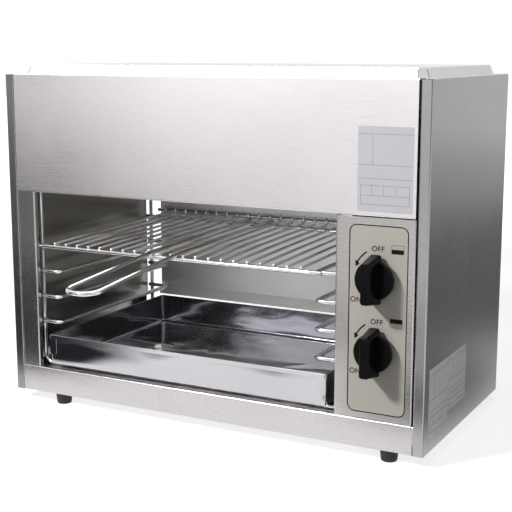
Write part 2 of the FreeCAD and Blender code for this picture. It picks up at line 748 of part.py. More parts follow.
def handle_legs_x():
    left = FIRST_ROD + ROD_PITCH * (LEFT_ROD_COUNT + 0.5)
    return left, left + LEG_GAP_COUNT * ROD_PITCH


def rack_handle():
    """A wire loop: its legs lie on the cross bars between rods, and spread and droop in front."""
    x0, x1 = handle_legs_x()
    middle = (x0 + x1) / 2
    over = (WIRE + TOUCH) * math.hypot(1, RACK_TILT)
    rear = REAR_BAR_Y + WIRE / 2
    front = BAR_Y - WIRE
    z_rear, z_front = bar_z(rear) + over, bar_z(front) + over
    tip = -HANDLE_REACH
    z_tip = z_front - HANDLE_DROOP * (front - tip)
    half = HANDLE_TIP_HALF
    points = [
        Vector(x0, rear, z_rear), Vector(x0, front, z_front), Vector(middle - half, tip, z_tip),
        Vector(middle + half, tip, z_tip), Vector(x1, front, z_front), Vector(x1, rear, z_rear),
    ]
    return bent_wire(points, WIRE, [HANDLE_KNEE_R, HANDLE_TIP_R, HANDLE_TIP_R, HANDLE_KNEE_R])


# Drip tray


def tray_block(inset, z0, z1):
    """A block with leaning walls, from the floor's height to the rim's, grown or shrunk by an inset."""

    def outline(share, z):
        side, front = inset + TRAY_SIDE_LEAN * share, inset + TRAY_LEAN * share
        x0, x1 = TRAY_X[0] + side, TRAY_X[1] - side
        y0, y1 = TRAY_FRONT + front, TRAY_REAR - front
        return [Vector(x0, y0, z), Vector(x1, y0, z), Vector(x1, y1, z), Vector(x0, y1, z)]
    return frustum(outline(1, z0), outline(0, z1))


def drip_tray():
    """A shallow pan of thin sheet, with a folded rim band and a tab lapped round each corner."""
    floor = TRAY_FLOOR
    t = TRAY_SHEET
    rim_z = TRAY_TOP - TRAY_RIM
    body = tray_block(t, floor, rim_z)
    soft = [edge for edge in body.Edges if edge.BoundBox.ZMax < floor + t]
    body = body.makeFillet(TRAY_BEND, soft)
    hollow = tray_block(2 * t, floor + t, rim_z)
    soft = [edge for edge in hollow.Edges if edge.BoundBox.ZMax < floor + 2 * t]
    hollow = hollow.makeFillet(TRAY_BEND - t, soft)
    x0, x1 = TRAY_X
    rim = box(x0, x1, TRAY_FRONT, TRAY_REAR, rim_z, TRAY_TOP)
    well = box(x0 + 2 * t, x1 - 2 * t, TRAY_FRONT + 2 * t, TRAY_REAR - 2 * t, rim_z, TRAY_TOP)
    tray = body.fuse(rim).cut(hollow.fuse(well))
    tabs = []
    lean = math.atan2(TRAY_LEAN, rim_z - floor)
    for x in (x0 + TRAY_SIDE_LEAN + TAB_W / 2, x1 - TRAY_SIDE_LEAN - TAB_W / 2):
        tab = box(-TAB_W / 2, TAB_W / 2, -t, 0, -TAB_H, 0)
        across = [edge for edge in tab.Edges if abs(edge.tangentAt(0).y) > 0.9]
        low = [edge for edge in across if edge.CenterOfMass.z < -t]
        tab = tab.makeFillet(TAB_W * 0.45, low)
        place = Placement(Vector(x, TRAY_FRONT + t, rim_z), Rotation(X, math.degrees(lean)))
        tabs.append(placed(tab, place))
    return tray.fuse(tabs).removeSplitter()


# Burners


def burner_rails():
    """Two angle rails along the chamber's walls that carry the burners by their flanges."""
    x = CAVITY_X[0] + SEAM
    line = [(x, RAIL_Z + RAIL_LEG), (x, RAIL_Z), (x + RAIL_LEDGE, RAIL_Z)]
    left = folded(line, LEFT, "XZ", BASE_LIP + 3, REAR_HOOP_Y - WIRE - BASE_LIP - 1)
    right = mirrored(left, sum(CAVITY_X) / 2)
    holes = [
        cylinder(ELECTRODE_COLLAR_D, Vector(ELECTRODE_X, y + ELECTRODE_OFF, RAIL_Z - SHEET), Z, 3 * SHEET)
        for y in BURNER_Y.values()
    ]
    return Part.makeCompound([left, right.cut(Part.makeCompound(holes))])


def burner_housing(y):
    """A pressed box, open below, with a flange round its mouth."""
    (x0, x1), (z0, z1) = BURNER_X, BURNER_Z
    y0, y1 = y - BURNER_D / 2, y + BURNER_D / 2
    wall = BURNER_WALL
    fx, fy = BURNER_END_FLANGE, BURNER_SIDE_FLANGE

    def pressed(inset, bottom):
        block = box(x0 + inset, x1 - inset, y0 + inset, y1 - inset, bottom, z1 - inset)
        crowned = [edge for edge in block.Edges if edge.BoundBox.ZMax > bottom + 1]
        return block.makeFillet(BURNER_R - inset, crowned)

    flange = box(x0 - fx, x1 + fx, y0 - fy, y1 + fy, z0, z0 + SHEET)
    shell = pressed(0, z0).fuse(flange).cut(pressed(wall, z0 - SHEET))
    tube = cylinder(TUBE_D + 2 * BORE_FIT, Vector(x1 - 3 * wall, y, TUBE_Z), X, 5 * wall)
    rod = cylinder(ELECTRODE_D + CLEAR, Vector(ELECTRODE_X, y + ELECTRODE_OFF, z0 - SHEET), Z, 3 * SHEET)
    return shell.cut(tube.fuse(rod))


def burner_mouth(y):
    """The housing's mouth less a seam: x0, x1, y0, y1."""
    inset = BURNER_WALL + SEAM
    half = BURNER_D / 2 - inset
    return BURNER_X[0] + inset, BURNER_X[1] - inset, y - half, y + half


def burner_plaques(y):
    """Ceramic plaques side by side that fill the housing's mouth."""
    x0, x1, y0, y1 = burner_mouth(y)
    width = (x1 - x0 - PLAQUE_GAP * (PLAQUE_COUNT - 1)) / PLAQUE_COUNT
    z0 = BURNER_Z[0] + SHEET + SEAM
    corner = BURNER_R - BURNER_WALL
    plaques = []
    for step in range(PLAQUE_COUNT):
        x = x0 + (width + PLAQUE_GAP) * step
        plaque = box(x, x + width, y0, y1, z0, z0 + PLAQUE_T)
        upright = [edge for edge in plaque.Edges if abs(edge.tangentAt(0).z) > 0.9]
        plaques.append(plaque.makeChamfer(corner * (2 - math.sqrt(2)) + SEAM, upright))
    return Part.makeCompound(plaques)


def burner_gauze(y):
    """The guard of woven wire under the plaques, as a sheet pierced in a square grid."""
    x0, x1, y0, y1 = burner_mouth(y)
    columns, rows = GAUZE_COLUMN_COUNT, GAUZE_ROW_COUNT
    pitch_x, pitch_y = (x1 - x0 - GAUZE_BAR) / columns, (y1 - y0 - GAUZE_BAR) / rows
    z0 = BURNER_Z[0]
    sheet = box(x0, x1, y0, y1, z0, z0 + SHEET)
    upright = [edge for edge in sheet.Edges if abs(edge.tangentAt(0).z) > 0.9]
    sheet = sheet.makeChamfer(BURNER_R / 2, upright)
    holes = []
    for column in range(columns):
        for row in range(rows):
            x, v = x0 + GAUZE_BAR + pitch_x * column, y0 + GAUZE_BAR + pitch_y * row
            holes.append(box(x, x + pitch_x - GAUZE_BAR, v, v + pitch_y - GAUZE_BAR, z0 - 1, z0 + 3))
    return sheet.cut(Part.makeCompound(holes))


def mixing_tube(y):
    """The burner's air and gas tube: an open end in the housing, air windows, a wall for the jet."""
    start = Vector(BURNER_X[1] - TUBE_INSIDE, y, TUBE_Z)
    length = TUBE_END - start.x
    tube = cylinder(TUBE_D, start, X, length)
    inside = cylinder(TUBE_D - 2 * TUBE_WALL, start, X, length - TUBE_WALL)
    jet = cylinder(INJECTOR_D + 2 * BORE_FIT, Vector(TUBE_END - 2 * TUBE_WALL, y, TUBE_Z), X, 10)
    w1 = TUBE_END - AIR_WINDOW_END
    window = TUBE_D / 3
    windows = box(w1 - AIR_WINDOW_L, w1, y - TUBE_D, y + TUBE_D, TUBE_Z - window / 2, TUBE_Z + window / 2)
    return tube.cut(Part.makeCompound([inside, jet])).cut(windows)


def injector(y):
    """A brass jet: a nose through the tube's end wall, a hexagon and a union for the pipe."""
    nose = cylinder(INJECTOR_D, Vector(TUBE_END - INJECTOR_NOSE, y, TUBE_Z), X, INJECTOR_NOSE)
    nut = hexagon(INJECTOR_HEX, Vector(TUBE_END, y, TUBE_Z), X, INJECTOR_HEX_L)
    union = cylinder(INJECTOR_D, Vector(TUBE_END + INJECTOR_HEX_L, y, TUBE_Z), X, UNION_L)
    jet = cylinder(JET, Vector(TUBE_END - 2 * INJECTOR_NOSE, y, TUBE_Z), X, 4 * INJECTOR_NOSE)
    return nose.fuse([nut, union]).cut(jet)


# Gas train and ignition


def valve_bracket():
    """A channel behind the plate that carries both taps."""
    (x0, x1), (z0, z1) = BRACKET_X, BRACKET_Z
    front = VALVE_Y - SHEET
    line = [
        (x0 - BRACKET_FOOT, SHEET), (x0, SHEET), (x0, front),
        (x1, front), (x1, SHEET), (x1 + BRACKET_FOOT, SHEET),
    ]
    channel = folded(line, LEFT, "XY", z0, z1 - z0)
    hole = SPINDLE_D + 2 * CLEAR
    holes = [cylinder(hole, Vector(TAP_X, front - SHEET, z), Y, 4 * SHEET) for z in TAP_Z.values()]
    return channel.cut(Part.makeCompound(holes))


def valve_body(z):
    """A turned body with the plug's bore, an inlet on the manifold and a side outlet."""
    bore = PLUG_D / 2 + BORE_FIT
    bore_end = PLUG_Y + PLUG_L + PLUG_END_GAP
    inlet = VALVE_INLET_D / 2
    manifold = MANIFOLD_Y - MANIFOLD_D / 2 - TOUCH
    shoulder = VALVE_Y + VALVE_L
    body = turned(
        [
            (bore, VALVE_Y), (VALVE_D / 2, VALVE_Y), (VALVE_D / 2, shoulder - VALVE_CHAMFER),
            (VALVE_D / 2 - VALVE_CHAMFER, shoulder), (inlet, shoulder), (inlet, manifold),
            (PIPE_BORE / 2, manifold), (PIPE_BORE / 2, bore_end), (bore, bore_end),
        ],
        TAP_X, z,
    )
    start = Vector(TAP_X + bore + 1, OUTLET_Y, z)
    outlet = cylinder(OUTLET_D, start, X, OUTLET_END - start.x)
    port = cylinder(PIPE_BORE, Vector(TAP_X, OUTLET_Y, z), X, OUTLET_END - TAP_X)
    return body.fuse(outlet).cut(port)


def gas_manifold():
    """The supply pipe: in at the rear, along the floor of the compartment and up behind the taps."""
    points = [
        Vector(TAP_X, REAR_Y, INLET_Z), Vector(TAP_X, MANIFOLD_Y, INLET_Z),
        Vector(TAP_X, MANIFOLD_Y, TAP_Z["front"] + MANIFOLD_END - MANIFOLD_WALL),
    ]
    pipe = bent_tube(points, MANIFOLD_D, MANIFOLD_D - 2 * MANIFOLD_WALL, MANIFOLD_BEND)
    cap = cylinder(MANIFOLD_D, points[-1], Z, MANIFOLD_WALL)
    return pipe.fuse(cap)


def gas_inlet_nipple():
    """The inlet fitting: a hexagon against the cover and a smooth spigot for the supply hose."""
    start = Vector(TAP_X, REAR_Y + TOUCH, INLET_Z)
    tip = CASE_D + NIPPLE_REACH
    spigot = cylinder(NIPPLE_D, start, Y, tip - start.y)
    rim = [edge for edge in spigot.Edges if edge.BoundBox.YMin > tip - 0.1]
    spigot = spigot.makeChamfer(NIPPLE_CHAMFER, rim)
    bore = cylinder(NIPPLE_BORE, Vector(TAP_X, 0, INLET_Z), Y, 2 * CASE_D)
    return hexagon(NIPPLE_HEX, start, Y, NIPPLE_HEX_L).fuse(spigot).cut(bore)


def gas_pipe(burner):
    """The pipe from a tap's outlet back and up to its burner's jet."""
    y, z = BURNER_Y[burner], TAP_Z[burner]
    points = [
        Vector(OUTLET_END, OUTLET_Y, z), Vector(PIPE_X, OUTLET_Y, z), Vector(PIPE_X, y, z),
        Vector(PIPE_X, y, TUBE_Z), Vector(OUTLET_END, y, TUBE_Z),
    ]
    return bent_tube(points, PIPE_D, PIPE_BORE, PIPE_BEND)


def igniter(z):
    """The spark unit beside a tap, with a stub for its lead."""
    x0, x1 = IGNITER_X
    body = box(x0, x1, VALVE_Y, VALVE_Y + IGNITER_L, z - IGNITER_H / 2, z + IGNITER_H / 2)
    body = body.makeFillet(IGNITER_EDGE, [edge for edge in body.Edges if abs(edge.tangentAt(0).y) > 0.9])
    stub = cylinder(2 * LEAD_D, Vector((x0 + x1) / 2, VALVE_Y + IGNITER_L, z), Y, LEAD_D)
    return body.fuse(stub)


def electrode(y):
    """A ceramic rod with a collar on the burner's flange and a wire bent under the plaques."""
    z0, z1 = ELECTRODE_Z
    foot = Vector(ELECTRODE_X, y + ELECTRODE_OFF, z0)
    rod = cylinder(ELECTRODE_D, foot, Z, z1 - z0)
    collar = Vector(foot.x, foot.y, BURNER_Z[0] + SHEET + TOUCH)
    collar = cylinder(ELECTRODE_COLLAR_D, collar, Z, ELECTRODE_COLLAR_L)
    down = foot - Z * 1.5 * SPARK_D
    spark = bent_wire([foot + Z, down, down - X * SPARK_REACH], SPARK_D, SPARK_D)
    return rod.fuse([collar, spark])


def ignition_lead(burner):
    y, z = BURNER_Y[burner] + ELECTRODE_OFF, TAP_Z[burner]
    x = sum(IGNITER_X) / 2
    stub_end = VALVE_Y + IGNITER_L + LEAD_D
    points = [
        Vector(ELECTRODE_X, y, ELECTRODE_Z[1]), Vector(ELECTRODE_X, y, LEAD_Z),
        Vector(x, y, LEAD_Z), Vector(x, y, z), Vector(x, stub_end, z),
    ]
    return bent_wire(points, LEAD_D, LEAD_BEND)


# Taps and knobs


def tap_plug(z):
    """The gas tap's plug, with the spring's recess, a bore for the spindle and a port."""
    start, end = PLUG_Y, PLUG_Y + PLUG_L
    bore_end = PLUG_SEAT_Y + PLUG_BORE_L
    outer, recess, bore = PLUG_D / 2, PLUG_RECESS_D / 2, STEM_D / 2 + BORE_FIT
    plug = turned(
        [
            (recess, start), (outer, start), (outer, end), (0, end),
            (0, bore_end), (bore, bore_end), (bore, PLUG_SEAT_Y), (recess, PLUG_SEAT_Y),
        ],
        TAP_X, z,
    )
    port = cylinder(PLUG_PORT_D, Vector(TAP_X, OUTLET_Y, z), X, PLUG_D)
    gas_way = cylinder(PLUG_PORT_D, Vector(TAP_X, OUTLET_Y, z), Y, PLUG_D)
    return plug.cut(port.fuse(gas_way))


def tap_spring(z):
    """The spring between the plug's seat and the spindle's collar."""
    start = COLLAR_Y + COLLAR_L + CLEAR + SPRING_WIRE / 2
    end = PLUG_SEAT_Y - CLEAR - SPRING_WIRE / 2
    radius = (STEM_D + PLUG_RECESS_D) / 4
    quarters = 4 * SPRING_COIL_COUNT
    rise = (end - start) / quarters
    corners = []
    for quarter in range(quarters + 2):
        angle = math.pi / 2 * (quarter + 0.5)
        reach = radius * math.sqrt(2)
        y = start + rise * (quarter - 0.5)
        corners.append(Vector(TAP_X + reach * math.cos(angle), y, z + reach * math.sin(angle)))
    first, last = (corners[0] + corners[1]) / 2, (corners[-2] + corners[-1]) / 2
    half_run = (corners[1] - corners[0]).Length / 2
    half_angle = (corners[0] - corners[1]).getAngle(corners[2] - corners[1]) / 2
    return bent_wire([first] + corners[1:-1] + [last], SPRING_WIRE, half_run * math.tan(half_angle))


def spindle(z):
    """The knob's shaft: a flat for the knob, a collar behind the bracket and a stem in the plug."""
    shaft, collar, stem = SPINDLE_D / 2, COLLAR_D / 2, STEM_D / 2
    collar_end = COLLAR_Y + COLLAR_L
    stem_end = PLUG_SEAT_Y + STEM_IN
    front = SOCKET_END + CLEAR
    body = turned(
        [
            (0, front), (shaft, front), (shaft, COLLAR_Y), (collar, COLLAR_Y),
            (collar, collar_end), (stem, collar_end), (stem, stem_end), (0, stem_end),
        ],
        TAP_X, z,
    )
    flat = box(
        TAP_X - SPINDLE_D, TAP_X + SPINDLE_D, front - 1, DISC_BACK, z + SPINDLE_FLAT, z + SPINDLE_D
    )
    return body.cut(flat)


def grip_outline(width, height, y, z):
    """A long rounded rectangle on an upright plane."""
    radius = min(GRIP_R, width / 2 - 0.1)
    half_w, half_h = width / 2, height / 2
    corners = [
        (-half_w, -half_h), (half_w, -half_h), (half_w, half_h), (-half_w, half_h),
    ]
    start = Vector(TAP_X, y, z - half_h)
    loop = [start] + [Vector(TAP_X + u, y, z + v) for u, v in corners[1:] + corners[:1]] + [start]
    return Part.Wire(rounded_edges(loop, [radius] * 4))


def knob(z):
    """A moulded disc with a wedge grip, hollow behind, with a socket for the spindle."""
    disc = cylinder(KNOB_D, Vector(TAP_X, DISC_FRONT, z), Y, DISC_BACK - DISC_FRONT)
    rim = [edge for edge in disc.Edges if edge.BoundBox.YMax < DISC_FRONT + 0.1]
    disc = disc.makeFillet(DISC_EDGE, rim)
    grip = Part.makeLoft(
        [
            grip_outline(GRIP_FOOT_W, GRIP_FOOT_H, DISC_FRONT, z),
            grip_outline(GRIP_FRONT_W, GRIP_FRONT_H, KNOB_FRONT, z),
        ],
        True, True,
    )
    rim = [edge for edge in grip.Edges if edge.BoundBox.YMax < KNOB_FRONT + 0.1]
    grip = grip.makeFillet(GRIP_EDGE, rim)
    foot = Part.Face(grip_outline(GRIP_FOOT_W, GRIP_FOOT_H, DISC_FRONT, z)).extrude(Y * DISC_T)
    floor = DISC_FRONT + KNOB_SHELL
    hollow = cylinder(KNOB_D - 2 * KNOB_SHELL, Vector(TAP_X, floor, z), Y, DISC_BACK - floor)
    hub = cylinder(SOCKET_D, Vector(TAP_X, floor, z), Y, DISC_BACK - floor)
    shaft = SPINDLE_D / 2 + TOUCH
    socket = cylinder(2 * shaft, Vector(TAP_X, SOCKET_END, z), Y, DISC_BACK - SOCKET_END)
    key = box(
        TAP_X - shaft, TAP_X + shaft, SOCKET_END, DISC_BACK, z + SPINDLE_FLAT + TOUCH, z + 2 * shaft
    )
    solid = disc.fuse([grip, foot]).cut(hollow.cut(hub))
    return solid.cut(socket.cut(key))


# Feet and screws


def feet():
    """Four tapered rubber feet with a recess for their screws."""
    recess = SCREW_HEAD_D + 2 * CLEAR
    hole = SCREW_D + 2 * SCREW_SLACK
    made = []
    for x in FOOT_X:
        for y in FOOT_Y:
            cone = Part.makeCone(FOOT_SOLE_D / 2, FOOT_TOP_D / 2, FOOT_H, Vector(x, y, -FOOT_H), Z)
            pocket = cylinder(recess, Vector(x, y, -FOOT_H), Z, FOOT_RECESS)
            bore = cylinder(hole, Vector(x, y, -FOOT_H), Z, FOOT_H)
            made.append(cone.cut(pocket.fuse(bore)))
    return Part.makeCompound(made)


def screw(seat, axis, length):
    """A pan-head screw: its head on the seat, its shank along the axis."""
    crown = seat - axis * SCREW_HEAD_H
    head = cylinder(SCREW_HEAD_D, crown, axis, SCREW_HEAD_H)
    closed = [edge for edge in head.Edges if edge.Closed]
    rim = [edge for edge in closed if (edge.CenterOfMass - crown).Length < SCREW_D / 4]
    head = head.makeFillet(SCREW_HEAD_H * 0.45, rim)
    return head.fuse(cylinder(SCREW_D, seat, axis, length))


def foot_screws():
    seat = -FOOT_H + FOOT_RECESS
    return Part.makeCompound([
        screw(Vector(x, y, seat), Z, FOOT_H - FOOT_RECESS + SCREW_L / 2) for x in FOOT_X for y in FOOT_Y
    ])


def back_screw_places():
    """Rear screws, in the side panels' rear flanges: (x, z)."""
    x = REAR_FLANGE / 2
    heights = [HOOD_Z + SCREW_OVER_HOOD_EDGE, CASE_H - SCREW_UNDER_TOP]
    places = [(x, z) for z in heights] + [(CASE_W - x, z) for z in heights]
    cover = [BASE_H + SCREW_FROM_COVER_END, HOOD_Z - SCREW_FROM_COVER_END]
    return places + [(CASE_W - x, z) for z in cover]


def base_screw_places():
    """Lower rear screws, through the side panels' rear flanges into the base's rear rail."""
    inset = REAR_FLANGE - SCREW_IN_BASE
    return [(x, BASE_H / 2) for x in (inset, CASE_W - inset)]


def screws(places):
    return Part.makeCompound([screw(Vector(x, CASE_D + TOUCH, z), -Y, SCREW_L) for x, z in places])


def drilled(shape, places):
    """Screw holes through the rear sheets."""
    hole = SCREW_D + 2 * SCREW_SLACK
    holes = [cylinder(hole, Vector(x, CASE_D + 1, z), -Y, 2 * SCREW_L) for x, z in places]
    return shape.cut(Part.makeCompound(holes))


def build():
    """All nodes by name, in the casing's frame."""
    rear_holes = back_screw_places() + base_screw_places()
    left = side_panel()
    nodes = {
        "left_side_panel": drilled(left, rear_holes),
        "right_side_panel": drilled(mirrored(left, CASE_W / 2), rear_holes),
        "hood_front_panel": hood_front_panel(),
        "top_lid": top_lid(),
        "base_pan": drilled(base_pan(), rear_holes),
        "left_pillar": left_pillar(),
        "control_panel": control_panel(),
        "control_plate": control_plate(),
        "left_liner": left_liner(),
        "partition": partition(),
        "back_liner": back_liner(),
        "hood_back_panel": drilled(hood_back_panel(), rear_holes),
        "compartment_cover": drilled(compartment_cover(), rear_holes),
        "burner_heat_shield": heat_shield(),
        "burner_rails": burner_rails(),
        "valve_bracket": valve_bracket(),
        "gas_manifold": gas_manifold(),
        "gas_inlet_nipple": gas_inlet_nipple(),
        "front_wire_hoop": wire_hoop(FRONT_HOOP_Y),
        "rear_wire_hoop": wire_hoop(REAR_HOOP_Y),
        "left_runners": runners(),
        "right_runners": mirrored(runners(), sum(CAVITY_X) / 2),
        "rack_front_bar": rack_front_bar(),
        "rack_rods": rack_rods(),
        "rack_rear_bars": rack_rear_bars(),
        "rack_handle": rack_handle(),
        "drip_tray": drip_tray(),
        "feet": feet(),
        "foot_screws": foot_screws(),
        "back_screws": screws(back_screw_places()),
        "base_screws": screws(base_screw_places()),
    }
    for burner, y in BURNER_Y.items():
        z = TAP_Z[burner]
        nodes.update({
            burner + "_burner_housing": burner_housing(y),
            burner + "_burner_plaques": burner_plaques(y),
            burner + "_burner_gauze": burner_gauze(y),
            burner + "_mixing_tube": mixing_tube(y),
            burner + "_injector": injector(y),
            burner + "_gas_pipe": gas_pipe(burner),
            burner + "_electrode": electrode(y),
            burner + "_ignition_lead": ignition_lead(burner),
            burner + "_igniter": igniter(z),
            burner + "_valve_body": valve_body(z),
            burner + "_tap_plug": tap_plug(z),
            burner + "_tap_spring": tap_spring(z),
            burner + "_spindle": spindle(z),
            burner + "_knob": knob(z),
        })
    return nodes


def main():
    """Write every node, moved so that the origin is under the middle of the whole grill."""
    nodes = build()
    front = nodes["rack_handle"].optimalBoundingBox().YMin
    rear = nodes["gas_inlet_nipple"].optimalBoundingBox().YMax
    to_origin = Vector(-CASE_W / 2, -(front + rear) / 2, FOOT_H)
    os.makedirs("parts", exist_ok=True)
    for name, shape in nodes.items():
        moved = shape.translated(to_origin)
        if not moved.isValid():
            print("not valid:", name)
        moved.exportStep("parts/" + name + ".step")
        print(name, len(moved.Solids), round(moved.Volume))


main()
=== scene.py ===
"""Looks of a counter-top gas salamander grill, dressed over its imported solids.

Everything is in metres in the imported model's frame: X to the right along the front, Y to the rear,
Z up from the surface that the grill stands on.
"""

import logging
import math
from dataclasses import dataclass
from enum import Enum
from typing import ClassVar

import bmesh
import bpy
import numpy as np
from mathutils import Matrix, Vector


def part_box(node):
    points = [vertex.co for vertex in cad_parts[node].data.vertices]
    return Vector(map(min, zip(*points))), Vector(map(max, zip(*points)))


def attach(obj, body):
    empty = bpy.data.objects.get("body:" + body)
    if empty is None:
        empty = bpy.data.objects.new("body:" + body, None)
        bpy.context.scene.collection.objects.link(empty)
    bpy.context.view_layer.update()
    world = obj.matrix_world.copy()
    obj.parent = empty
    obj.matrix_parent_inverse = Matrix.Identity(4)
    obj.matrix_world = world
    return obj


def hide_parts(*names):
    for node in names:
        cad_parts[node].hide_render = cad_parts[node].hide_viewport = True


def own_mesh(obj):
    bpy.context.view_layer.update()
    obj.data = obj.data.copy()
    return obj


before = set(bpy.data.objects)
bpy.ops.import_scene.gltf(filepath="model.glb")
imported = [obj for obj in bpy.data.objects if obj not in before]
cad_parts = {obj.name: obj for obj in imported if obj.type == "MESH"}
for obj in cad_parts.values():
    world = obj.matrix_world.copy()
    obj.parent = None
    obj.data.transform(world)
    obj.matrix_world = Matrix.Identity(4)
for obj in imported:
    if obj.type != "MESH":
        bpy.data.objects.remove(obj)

LOG = logging.getLogger("salamander")
MM = 0.001
BURNERS = ("front", "rear")
SAME_POINT = 1e-7
X_AXIS, Y_AXIS, Z_AXIS = np.eye(3)
WHITE = (1.0, 1.0, 1.0, 1.0)

Array = np.ndarray
Material = bpy.types.Material
Object = bpy.types.Object
Socket = bpy.types.NodeSocket
Pair = tuple[float, float]
Place = tuple[float, float, float]
Colour = tuple[float, float, float]


# Surfaces


@dataclass
class Surface:
    """Points and faces of a mesh that is still being put together."""

    points: Array
    faces: list[list[int]]

    @staticmethod
    def joined(surfaces: list["Surface"]) -> "Surface":
        """Put several surfaces into one.

        Args:
            surfaces: The surfaces, which keep their own points.

        Returns:
            One surface with all their points and faces.
        """
        points, faces, start = [], [], 0
        for surface in surfaces:
            points.append(surface.points)
            faces += [[start + index for index in face] for face in surface.faces]
            start += len(surface.points)
        return Surface(np.vstack(points), faces)


def grid(points: Array, wrap: bool = True, capped: bool = True) -> Surface:
    """Join a grid of points with quads.

    Args:
        points: Rows of points, shaped (rows, columns, 3).
        wrap: Whether each row closes onto its first point.
        capped: Whether the first and the last row are closed by a face each.

    Returns:
        The surface.
    """
    rows, columns = points.shape[:2]
    row, column = np.meshgrid(
        np.arange(rows - 1), np.arange(columns if wrap else columns - 1), indexing="ij"
    )
    beside = (column + 1) % columns
    quads = np.stack(
        [row * columns + column, (row + 1) * columns + column,
         (row + 1) * columns + beside, row * columns + beside], -1,
    ).reshape(-1, 4)
    faces = quads.tolist()
    if capped:
        last = (rows - 1) * columns
        faces.append(list(range(columns)))
        faces.append(list(range(last + columns - 1, last - 1, -1)))
    return Surface(points.reshape(-1, 3), faces)


def route(corners: Array, radii: list[float], step: float = math.radians(9)) -> Array:
    """Follow straight runs whose corners are rounded.

    An arc of radius r touches both runs at r / tan(h) from the corner, where h is half the angle
    between them, and its points are middle + r * (cos t * out + sin t * along).

    Args:
        corners: The runs' end points, shaped (n, 3).
        radii: The arc's radius at each inner corner.
        step: The turn between two points of an arc, in radians.

    Returns:
        The points of the route, shaped (n, 3).
    """
    parts = [corners[0][None, :]]
    for before, corner, after, radius in zip(corners, corners[1:], corners[2:], radii):
        back = (before - corner) / np.linalg.norm(before - corner)
        onward = (after - corner) / np.linalg.norm(after - corner)
        half = math.acos(float(np.clip(back @ onward, -1, 1))) / 2
        bisector = (back + onward) / np.linalg.norm(back + onward)
        middle = corner + bisector * (radius / math.sin(half))
        out = -bisector
        along = (onward - back) / np.linalg.norm(onward - back)
        swing = math.pi / 2 - half
        turn = np.linspace(-swing, swing, max(3, int(2 * swing / step) + 2))[:, None]
        parts.append(middle + radius * (np.cos(turn) * out + np.sin(turn) * along))
    parts.append(corners[-1][None, :])
    return np.vstack(parts)


DOME_TURNS = np.radians([84, 60, 30])
DOME_DEPTH = 0.35


def wire(path: Array, radius: float, up: Array, sides: int = 20) -> Surface:
    """Carry a circle along a path, with slightly domed ends.

    A point is path(s) + r * (cos a * side(s) + sin a * over(s)), where side is square to the
    path and to the up direction. At the ends r shrinks as a cosine while the ring moves on.

    Args:
        path: Points of the wire's middle line.
        radius: The wire's radius.
        up: A direction that the path never runs along.
        sides: Points round the wire.

    Returns:
        The closed surface.
    """
    along = np.gradient(path, axis=0)
    along /= np.linalg.norm(along, axis=1)[:, None]
    side = np.cross(along, up)
    side /= np.linalg.norm(side, axis=1)[:, None]
    over = np.cross(side, along)
    depth, ends = DOME_DEPTH * radius, len(DOME_TURNS)
    middles = np.vstack([
        path[0] - along[0] * depth * np.sin(DOME_TURNS)[:, None], path,
        path[-1] + along[-1] * depth * np.sin(DOME_TURNS[::-1])[:, None],
    ])
    shrink = np.cos(DOME_TURNS)
    reach = radius * np.concatenate([shrink, np.ones(len(path)), shrink[::-1]])
    side = np.vstack([np.repeat(side[:1], ends, 0), side, np.repeat(side[-1:], ends, 0)])
    over = np.vstack([np.repeat(over[:1], ends, 0), over, np.repeat(over[-1:], ends, 0)])
    turn = np.linspace(0, 2 * math.pi, sides, endpoint=False)
    ring = np.cos(turn)[None, :, None] * side[:, None] + np.sin(turn)[None, :, None] * over[:, None]
    return grid(middles[:, None] + reach[:, None, None] * ring)


def turned(profile: list[Pair], base: Array, axis: Array, sides: int = 48) -> Surface:
    """Turn a closed profile about an axis: base + h * axis + r * (cos a * u + sin a * v).

    Args:
        profile: (radius, height) points from the axis out and back to it.
        base: Where the axis starts.
        axis: The axis, one unit long and along X, Y or Z.
        sides: Points round the axis.

    Returns:
        The closed surface.
    """
    u = np.roll(np.abs(axis), 1)
    v = np.cross(axis, u)
    turn = np.linspace(0, 2 * math.pi, sides, endpoint=False)
    ring = np.cos(turn)[:, None] * u + np.sin(turn)[:, None] * v
    radius, height = np.array(profile).T
    return grid(base + height[:, None, None] * axis + radius[:, None, None] * ring[None])


def rounded(points: list[Pair], radius: float, steps: int = 5) -> list[Pair]:
    """Round the inner corners of a plane profile by arcs of one radius.

    Args:
        points: The profile's corners.
        radius: The arcs' radius.
        steps: Points of each arc.

    Returns:
        The profile's points.
    """
    corners = np.array([(u, v, 0.0) for u, v in points])
    path = route(corners, [radius] * (len(points) - 2), math.radians(90 / steps))
    return [(float(u), float(v)) for u, v, _ in path]


